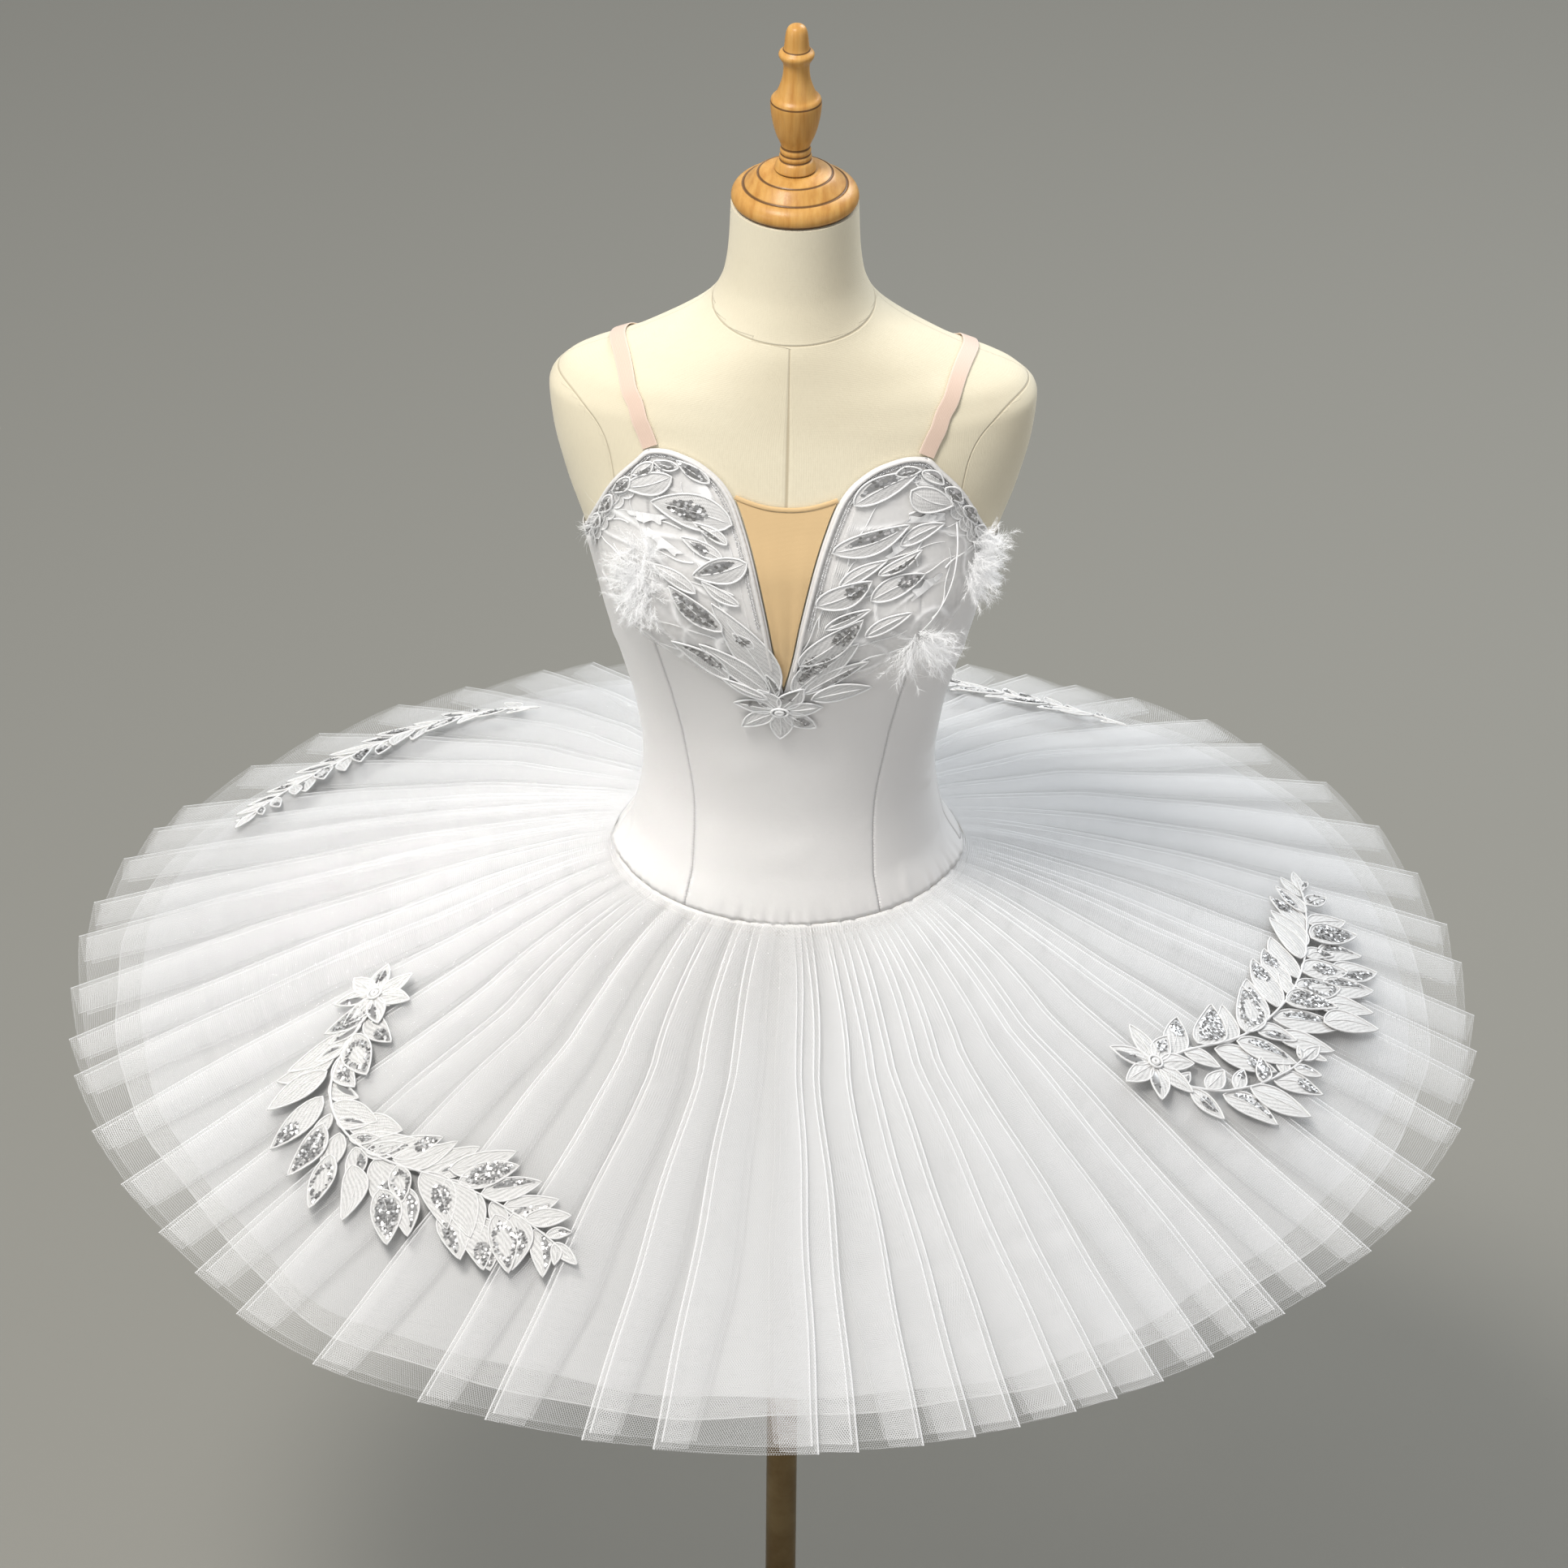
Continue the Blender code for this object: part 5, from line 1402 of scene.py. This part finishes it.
def on_skirt(chart, out):
    """Chart on the skirt: x, y; the embroidery lies over the fold edges."""
    x, y = chart[..., 0], chart[..., 1]
    angle = np.arctan2(x, -y)
    seam_radius = seam_ring(angle, 0.0)[0]
    share = (np.hypot(x, y) - seam_radius) / (hem_radius(angle) - seam_radius)
    lift = PLEAT_RISE * pleat_growth(share, angle) + 0.0004 + out
    return skirt(angle, share, (0.0, 0.0), 0.0, lift)


FILL, CORD, SEQUIN, VOILE = 0, 1, 2, 3
EMBROIDERY = ["fill", "cord", "sequins", "sheer"]
# The skirt's embroidery uses the darker copies of the threads, as painted shade.
NET_EMBROIDERY = ["net_fill", "net_cord", "sequins", "sheer"]


def add_cord(parts, lay, chart, out, radius, sides, closed=False):
    """A cord on a line of chart points, out from the cloth."""
    path = lay(chart, out)
    up = unit(lay(chart, out + 0.01) - path)
    add_tube(parts, path, radius, sides, up, finish=CORD, closed=closed)


def leaf(parts, lay, base, tip, width, bend, rng, silver="", lift=0.0):
    """One embroidered leaf from base to tip on a flat chart: a domed fill whose half
    width goes as sin(pi s^0.8)^0.85, a raised cord round it, a rib, and sequins."""
    base, tip = np.asarray(base, float), np.asarray(tip, float)
    axis = tip - base
    long = float(np.hypot(*axis))
    side = np.array([-axis[1], axis[0]]) / long

    def place(s, t):
        half = width * np.sin(math.pi * np.clip(s, 0, 1) ** 0.8) ** 0.85
        sway = bend * long * np.sin(math.pi * s)
        return base + s[..., None] * axis + (half * t + sway)[..., None] * side

    def dome(s, t):
        return lift + 0.0003 + 0.0011 * (1 - t**2) * np.sin(math.pi * np.clip(s, 0, 1))

    s, t = np.meshgrid(np.linspace(0.0, 1.0, 15), np.linspace(-1.0, 1.0, 7), indexing="ij")
    points = lay(place(s, t), dome(s, t))
    parts.grid(points, chart_uv(t * width, s * long), flip=True, finish=FILL)
    go = np.linspace(0.0, 1.0, 17)
    s, t = np.concatenate([go, go[-2:0:-1]]), np.repeat([1.0, -1.0], [17, 15])
    add_cord(parts, lay, place(s, t), lift + 0.0007, 0.00075, 6, closed=True)
    s = np.linspace(0.04, 0.86, 9)
    add_cord(parts, lay, place(s, 0 * s), dome(s, 0 * s) + 0.0002, 0.00045, 5)
    if silver:
        add_sequins(parts, lay, place, dome, long, width, silver, rng)


def add_sequins(parts, lay, place, dome, long, width, silver, rng):
    """Tilted discs scattered over part of a leaf, on a silver ground unless it is a ring."""
    low, high, left, right = SEQUIN_PATCH[silver]
    if silver != "ring":
        q = np.linspace(0.0, 1.0, 11)[:, None]
        s = low + (high - low) * q + np.zeros((1, 5))
        half = (right - left) / 2 * np.sqrt(np.sin(math.pi * q))
        t = (left + right) / 2 + half * np.linspace(-1, 1, 5)
        ground = lay(place(s, t), dome(s, t) + 0.00030)
        parts.grid(ground, flip=True, finish=SEQUIN, tone=0.38)
    pitch = 0.0017
    rows = max(int((high - low) * long / pitch), 2)
    columns = max(int((right - left) * width / pitch), 2)
    s, t = np.meshgrid(
        np.linspace(low, high, rows), np.linspace(left, right, columns), indexing="ij"
    )
    s = s.ravel() + rng.normal(0, 0.25, s.size) * pitch / long
    t = t.ravel() + rng.normal(0, 0.25, t.size) * pitch / max(width, 0.001)
    from_middle = ((s - (low + high) / 2) / (high - low) * 2) ** 2
    from_middle = from_middle + ((t - (left + right) / 2) / (right - left) * 2) ** 2
    inside = from_middle < 1.05
    if silver == "ring":
        inside &= from_middle > 0.42
    inside &= rng.uniform(0, 1, s.size) < 0.96
    s, t = s[inside], t[inside]
    if not len(s):
        return
    radius = rng.uniform(0.0009, 0.0013, len(s))[:, None]
    a = np.arange(6) * math.pi / 3
    disc = place(s, t)[:, None] + radius[..., None] * np.stack([np.cos(a), np.sin(a)], -1)
    tilt = rng.normal(0, 0.28, (len(s), 2))
    slope = radius * (tilt[:, :1] * np.cos(a) + tilt[:, 1:] * np.sin(a))
    out = dome(s, np.clip(t, -1, 1))[:, None] + 0.0006 + slope
    faces = np.arange(len(s) * 6).reshape(-1, 6)
    tone = np.repeat(rng.beta(1.2, 1.5, len(s)), 6)
    parts.add(lay(disc, out), faces, finish=SEQUIN, tone=tone)


def flower(parts, lay, centre, reach, petals, rng, start=0.0, squash=1.0, lift=0.0):
    """A star flower: pointed petals round two rings of cord."""
    centre = np.asarray(centre, float)
    for k in range(petals):
        a = start + k * 2 * math.pi / petals
        way = np.array([math.cos(a), squash * math.sin(a)])
        long = reach * rng.uniform(0.85, 1.05)
        silver = ("", "eye", "", "half", "", "other", "")[k % 7]
        leaf(parts, lay, centre + 0.10 * reach * way, centre + long * way, 0.21 * reach,
             rng.uniform(-0.06, 0.06), rng, silver, lift)
    a = np.linspace(0, 2 * math.pi, 15)[:-1]
    circle = np.stack([np.cos(a), squash * np.sin(a)], -1)
    for share, thick in ((0.15, 0.0010), (0.06, 0.0015)):
        add_cord(parts, lay, centre + share * reach * circle, lift + 0.0022, thick, 6, closed=True)


def stem_cord(parts, lay, line, first, last, out=0.0024):
    """A corded stem on a smoothed line of chart points, from one radius to another."""
    line = smoothed(evenly(line, lengths(line), 60), 12)
    add_cord(parts, lay, line, out, np.linspace(first, last, 60), 7)


def on_plan(table):
    """Chart points on the skirt from rows of angle and distance from the axis."""
    angle, distance = np.radians(table[:, 0]), table[:, 1]
    return np.stack([distance * np.sin(angle), -distance * np.cos(angle)], 1)


def spray(parts, table, rng, spacing, broad):
    """Leaves in turn on both sides of a stem on the skirt, leaning forwards by 36 to
    50 degrees, long enough to reach the outline on their side; broad is the half width
    of a leaf as a share of its length."""
    stem = on_plan(table)
    far, along = lengths(stem), unit(np.gradient(stem, axis=0))
    styles = ("tip", "", "half", "ring", "", "other", "eye", "", "half", "tip", "", "all")
    longest, widest = 0.052, 0.0115
    turn = int(rng.integers(0, 12))
    outline = []
    for reach in table[:, 2:4].T:
        peak = np.ones(len(reach), bool)
        peak[1:-1] = (reach[1:-1] >= reach[:-2]) & (reach[1:-1] >= reach[2:])
        outline.append((far[peak], reach[peak]))
    for n, distance in enumerate(np.arange(0.010, far[-1] - 0.006, spacing)):
        way = 1 if n % 2 else -1
        reach = np.interp(distance, *outline[n % 2]) * rng.uniform(0.80, 1.02)
        start = np.array([np.interp(distance, far, column) for column in stem.T])
        ahead = unit(np.array([np.interp(distance, far, column) for column in along.T]))
        lean = math.radians(rng.uniform(36.0, 50.0))
        sideways = way * math.sin(lean) * np.array([ahead[1], -ahead[0]])
        toward = math.cos(lean) * ahead + sideways
        total = max(reach / math.sin(lean), 0.014)
        long = min(total, longest * rng.uniform(0.85, 1.0))
        pieces = [(total - long, total)]
        if total - long > 0.008:
            pieces.append((0.001, (total - long) + 0.35 * long))
        for near, end in pieces:
            width = min((end - near) * broad * rng.uniform(0.88, 1.12), widest)
            leaf(parts, on_skirt, start + max(near, 0.001) * toward, start + end * toward, width,
                 way * rng.uniform(-0.04, 0.14), rng, styles[turn % 12], 0.0008 * (turn % 4))
            turn += 1
    end = stem[-1] + 0.010 * along[-1]
    leaf(parts, on_skirt, stem[-1] - 0.016 * along[-1], end, 0.0045, 0.0, rng, "", 0.0008)
    stem_cord(parts, on_skirt, stem, 0.0012, 0.0007)


def voile(parts, side):
    """The ruched sheer layer over a cup: ridges (1 - |sin|)^4 on two warped directions."""
    angle = np.radians(np.linspace(5.0, 58.0, 111))[None, :]
    shift = math.radians(4.4)
    high = np.minimum(top_edge(angle) - 0.0085, top_edge(np.maximum(angle - shift, 0.012)))
    scallop = 0.0022 * np.abs(np.sin(26.0 * angle))
    low = 1.1060 + 0.075 * np.clip((angle - 0.14) / 0.87, 0.0, 1.0) ** 1.3 - scallop
    low = np.minimum(low, high - 0.002)
    height = low + (high - low) * np.linspace(0.0, 1.0, 101)[:, None]
    x, z = angle * CHART_RADIUS, height
    warp = 0.9 * np.sin(70 * x + 40 * z) + 0.7 * np.sin(110 * z - 50 * x + side)
    first = (1 - np.abs(np.sin(100 * x + 70 * z + 1.2 * warp + 0.4 * side))) ** 4
    second = (1 - np.abs(np.sin(50 * x - 120 * z + 1.1 * np.sin(85 * x + 1.0) + warp))) ** 4
    share = 0.5 + 0.5 * np.sin(95 * x + 60 * z + 2.0 * side)
    rim = np.minimum(1.0, 12 * np.minimum(height - low, high - height) / 0.012)
    ridge = (first * share + second * (1 - share)) * np.clip(rim, 0, 1)
    points = on_bodice(chart_uv(side * x, z), 0.0001 + 0.0012 * ridge)
    parts.grid(points, chart_uv(x, z), flip=side < 0, finish=VOILE, ridge=ridge)


def frill(parts, lay, start, end, width, rng):
    """A small torn-edged ruffle: a strip whose loose edge rises and falls in folds."""
    start, end = np.asarray(start, float), np.asarray(end, float)
    axis = end - start
    side = np.array([-axis[1], axis[0]]) / np.hypot(*axis)
    q, t = np.linspace(0, 1, 61)[:, None], np.linspace(0, 1, 7)[None, :]
    phase = rng.uniform(0, 6.28)
    sweep = np.sin(math.pi * q) ** 0.5
    fold = np.sin(22 * q + phase + 2 * np.sin(9 * q))
    reach = t * width * sweep * (0.8 + 0.2 * np.sin(17 * q + phase))
    place = start + q[..., None] * axis + reach[..., None] * side
    place = place + (0.0012 * fold * t)[..., None] * axis / np.hypot(*axis)
    out = 0.0008 + 0.0018 * t * (0.5 + 0.5 * fold) * sweep
    parts.grid(lay(place, out), chart_uv(q * 0.03, t * width), finish=CORD)


def make_cup_spray(side, word):
    """Voile, leaves, a border of small leaves, corded veins and torn ruffles on a cup."""
    rng = np.random.default_rng(11 + side)
    parts = Parts()
    voile(parts, side)

    def at(degrees, height):
        return np.array([side * math.radians(degrees) * CHART_RADIUS, height])

    for n, (a0, z0, a1, z1, width, bend, silver) in enumerate(CUP_LEAVES[word]):
        lift = 0.0006 + 0.0007 * (n % 3)
        leaf(parts, on_bodice, at(a0, z0), at(a1, z1), width, bend, rng, silver, lift)
    for n, a0 in enumerate((23.0, 30.0, 37.5, 45.0, 52.0, 58.5)):
        ends = [
            at(a, float(top_edge(math.radians(a))) - drop)
            for a, drop in ((a0, 0.0095), (a0 + 6.8, 0.0085))
        ]
        leaf(parts, on_bodice, *ends, 0.0036, 0.05, rng, ("all", "half", "all")[n % 3], 0.0016)
    q = np.linspace(0, 1, 12)[:, None]
    for a0, z0, a1, z1, bend in CUP_VEINS:
        a0, a1 = a0 + rng.uniform(-1.5, 1.5), a1 + rng.uniform(-1.5, 1.5)
        start = at(a0, z0)
        axis = at(a1, z1) - start
        wander = bend * (np.sin(math.pi * q) + 0.3 * np.sin(3 * math.pi * q))
        line = start + q * axis + wander * np.array([-axis[1], axis[0]])
        stem_cord(parts, on_bodice, line, 0.0008, 0.0003, 0.0002)
    for a0, z0, a1, z1 in CUP_FRILLS:
        frill(parts, on_bodice, at(a0, z0), at(a1, z1), 0.0085, rng)
    settle(parts.make(f"cup_spray_{word}", EMBROIDERY), f"bodice_spray_{word}")


def make_star():
    """The flower below the point of the V."""
    parts = Parts()
    centre = (math.radians(-1.0) * CHART_RADIUS, 1.0885)
    rng = np.random.default_rng(5)
    flower(parts, on_bodice, centre, 0.0295, 7, rng, -math.pi / 2, 0.92, 0.0012)
    settle(parts.make("star_flower", EMBROIDERY), "bodice_star")


def make_skirt_spray(name):
    """Stems of leaves on the top net; those in front start at a star flower."""
    rng = np.random.default_rng(sum(map(ord, name)))
    spacing, broad = SPRAY_LEAVES[name]
    parts = Parts()
    for rows in (SKIRT_SPRAYS[name], SECOND_STEMS.get(name)):
        if rows:
            spray(parts, np.array(rows), rng, spacing, broad)
    if name.startswith("front"):
        centre = on_plan(np.array(SKIRT_SPRAYS[name]))[1]
        flower(parts, on_skirt, centre, 0.034, 7, rng, 0.4, 1.0, 0.0030)
    settle(parts.make(f"net_spray_{name}", NET_EMBROIDERY), f"skirt_spray_{name}")


def make_embroidery():
    """A spray on each cup, the star between them, and four sprays on the skirt."""
    for side, word in SIDES:
        make_cup_spray(side, word)
    make_star()
    for name in SKIRT_SPRAYS:
        make_skirt_spray(name)


# ---------------------------------------------------------------- down
def barbs(parts, roots, ways, long, width, curl, rng, finish=0):
    """Fine tapering strands: root + L q way + curl q^2 sideways, a ribbon whose width
    goes as (1 - 0.92 q)^0.7."""
    count, steps = len(roots), 7
    q = np.linspace(0.0, 1.0, steps)[None, :, None]
    far = long[:, None, None]
    side = unit(np.cross(ways, rng.normal(0, 1, (count, 3))))
    bend = unit(np.cross(ways, side)) * rng.normal(0, curl, (count, 1))
    path = roots[:, None] + far * (
        q * ways[:, None] + q**2 * bend[:, None] + 0.06 * np.sin(9 * q) * side[:, None] * q
    )
    path = path + np.array([0.0, 0.0, -0.25]) * far * q**2 * curl
    half = 0.5 * width * (1 - 0.92 * q) ** 0.7 * side[:, None]
    ribbon = np.stack([path - half, path + half], 2)
    r = 2 * np.arange(steps - 1)[None, :, None]
    base = np.arange(count)[:, None, None] * 2 * steps
    faces = np.concatenate([base + r + corner for corner in (0, 1, 3, 2)], 2).reshape(-1, 4)
    tone = np.repeat(rng.uniform(0, 1, count), 2 * steps)
    parts.add(ribbon, faces, finish=finish, tone=tone)


def plumes(roots, ways, long, each, rng):
    """Barbs along small feathers: a shaft root + L (q way + 0.3 q^2 bend) carries barbs
    leaning 14 to 58 degrees off it, shorter towards its tip."""
    count = len(roots)
    q = (0.04 + 0.92 * rng.beta(1.1, 1.0, (count, each)))[..., None]
    bend = unit(np.cross(ways, rng.normal(0, 1, (count, 3)))) * rng.uniform(0.1, 0.4, (count, 1))
    ways, bend, far = ways[:, None], bend[:, None], long[:, None, None]
    starts = roots[:, None] + far * (q * ways + q**2 * bend)
    tangent = unit(ways + 2 * q * bend)
    side = unit(np.cross(tangent, rng.normal(0, 1, (count, each, 3))))
    off = np.radians(rng.uniform(14.0, 58.0, (count, each, 1)))
    out = np.cos(off) * tangent + np.sin(off) * side
    size = far[..., 0] * (0.40 - 0.26 * q[..., 0]) * rng.uniform(0.7, 1.1, (count, each))
    return starts.reshape(-1, 3), out.reshape(-1, 3), size.ravel()


def make_down():
    """Three tufts of marabou: small feathers fanned from the cup, lying rather flat."""
    for word, node, angle, height, half_round, half_up, aim, spread, long, count, each in (
        ("right_upper", "feather_tuft_right_upper", 55.0, 1.203, 0.012, 0.022,
         (0.60, 0.65, -0.25), (0.45, 0.75), 0.030, 92, 84),
        ("right_lower", "feather_tuft_right_lower", 35.5, 1.156, 0.007, 0.010,
         (0.26, 0.45, -0.75), (0.75, 0.60), 0.046, 34, 76),
        ("left", "feather_tuft_left", -37.5, 1.190, 0.010, 0.030,
         (0.26, 0.26, -0.25), (0.75, 0.85), 0.030, 84, 80),
    ):
        rng = np.random.default_rng(len(word) + 77)
        side = np.sign(angle)
        turn = math.radians(angle)
        spot = np.clip(rng.normal(0, 0.5, (count, 2)), -1.2, 1.2)
        sideways, upwards = spot[:, 0] * half_round, spot[:, 1] * half_up
        at = np.full(count, turn)
        roots = form_walk(at, height, sideways, upwards, ON_PANEL + 0.0030)
        normal = form_normal(at + sideways / BUST_RADIUS, height + upwards)
        round_way = unit(np.cross([0.0, 0.0, 1.0], normal))
        up_way = np.cross(normal, round_way)
        lean = rng.normal(0, 1.0, (count, 2)) * spread + spot * 0.5
        ways = unit(
            normal * aim[0] + round_way * (side * aim[1] + lean[:, :1])
            + up_way * (aim[2] + lean[:, 1:])
        )
        reach = long * rng.uniform(0.55, 1.0, count)
        parts = Parts()
        barbs(parts, *plumes(roots, ways, reach, each, rng), 0.00021, 0.45, rng)
        if word == "right_upper":
            q = np.linspace(0.0, 1.0, 30)
            quill = form(
                np.radians(43.5 - 7.5 * q + 5.0 * np.sin(math.pi * q)), 1.240 - 0.078 * q,
                ON_PANEL + 0.0030 + 0.004 * np.sin(math.pi * q),
            )
            up = unit(quill * np.array([1.0, 1.0, 0.0]))
            add_tube(parts, quill, np.linspace(0.0007, 0.0003, 30), 6, up, tone=0.9)
        settle(parts.make(f"marabou_{word}", ["down"]), node)


def make_lace(rng):
    """Scalloped lace under the beading at the top of each cup, with a fringe at its
    outer end."""
    first, last, columns = 27.0, 66.0, 121
    for side, word in SIDES:
        parts = Parts()
        near, normal = edge_line(side, first, last, 0.0082, ON_TRIM + 0.0003, columns)
        far, _ = edge_line(side, first, last, 0.0180, ON_TRIM + 0.0003, columns)
        length = lengths(near)
        scallop = 0.62 + 0.38 * np.abs(np.sin(math.pi * length / 0.0125)) ** 0.6
        share = np.linspace(0, 1, 9)[:, None]
        points = near + (far - near) * (share * scallop)[..., None]
        uv = chart_uv(length[None, :], share * 0.0098 * scallop)
        parts.grid(points, uv, flip=side > 0, finish=FILL)
        for reach in (1.0, 0.52):
            path = near + (far - near) * (reach * scallop)[:, None] + 0.0004 * normal
            add_tube(parts, path, 0.0006, 6, normal, finish=CORD)
        count = 240
        pick = (np.clip(rng.beta(5.0, 1.1, count), 0, 1) * (columns - 1)).astype(int)
        roots = near[pick] + 0.001 * normal[pick]
        along = unit(np.gradient(near, axis=0))[pick]
        inward = unit(far - near)[pick]
        ways = unit(
            normal[pick] * rng.uniform(0.2, 1.0, (count, 1))
            + along * rng.normal(0.5, 0.6, (count, 1)) - inward * rng.normal(0.1, 0.8, (count, 1))
        )
        barbs(parts, roots, ways, rng.uniform(0.004, 0.012, count), 0.00040, 0.5, rng, finish=CORD)
        settle(parts.make(f"scalloped_lace_{word}", EMBROIDERY), f"cup_lace_{word}")


# ---------------------------------------------------------------- floor
def make_floor():
    """The studio floor, which belongs to the stage and not to the costume."""
    finish = Finish("plain_floor", (0.272, 0.262, 0.230), Roughness=0.9)
    bpy.ops.mesh.primitive_plane_add(size=14.0, location=(0.0, 0.0, -0.0002))
    floor = bpy.context.object
    floor.name = "floor"
    floor.data.materials.append(finish.material)


def main():
    """The light, the form on its stand, and the tutu from the body outwards."""
    make_camera()
    make_light()
    make_finishes()
    make_form()
    make_stand()
    make_bodice()
    make_mesh_insert()
    rng = np.random.default_rng(3)
    make_edges(rng)
    make_lace(rng)
    make_straps()
    make_skirt()
    make_embroidery()
    make_down()
    make_floor()


main()
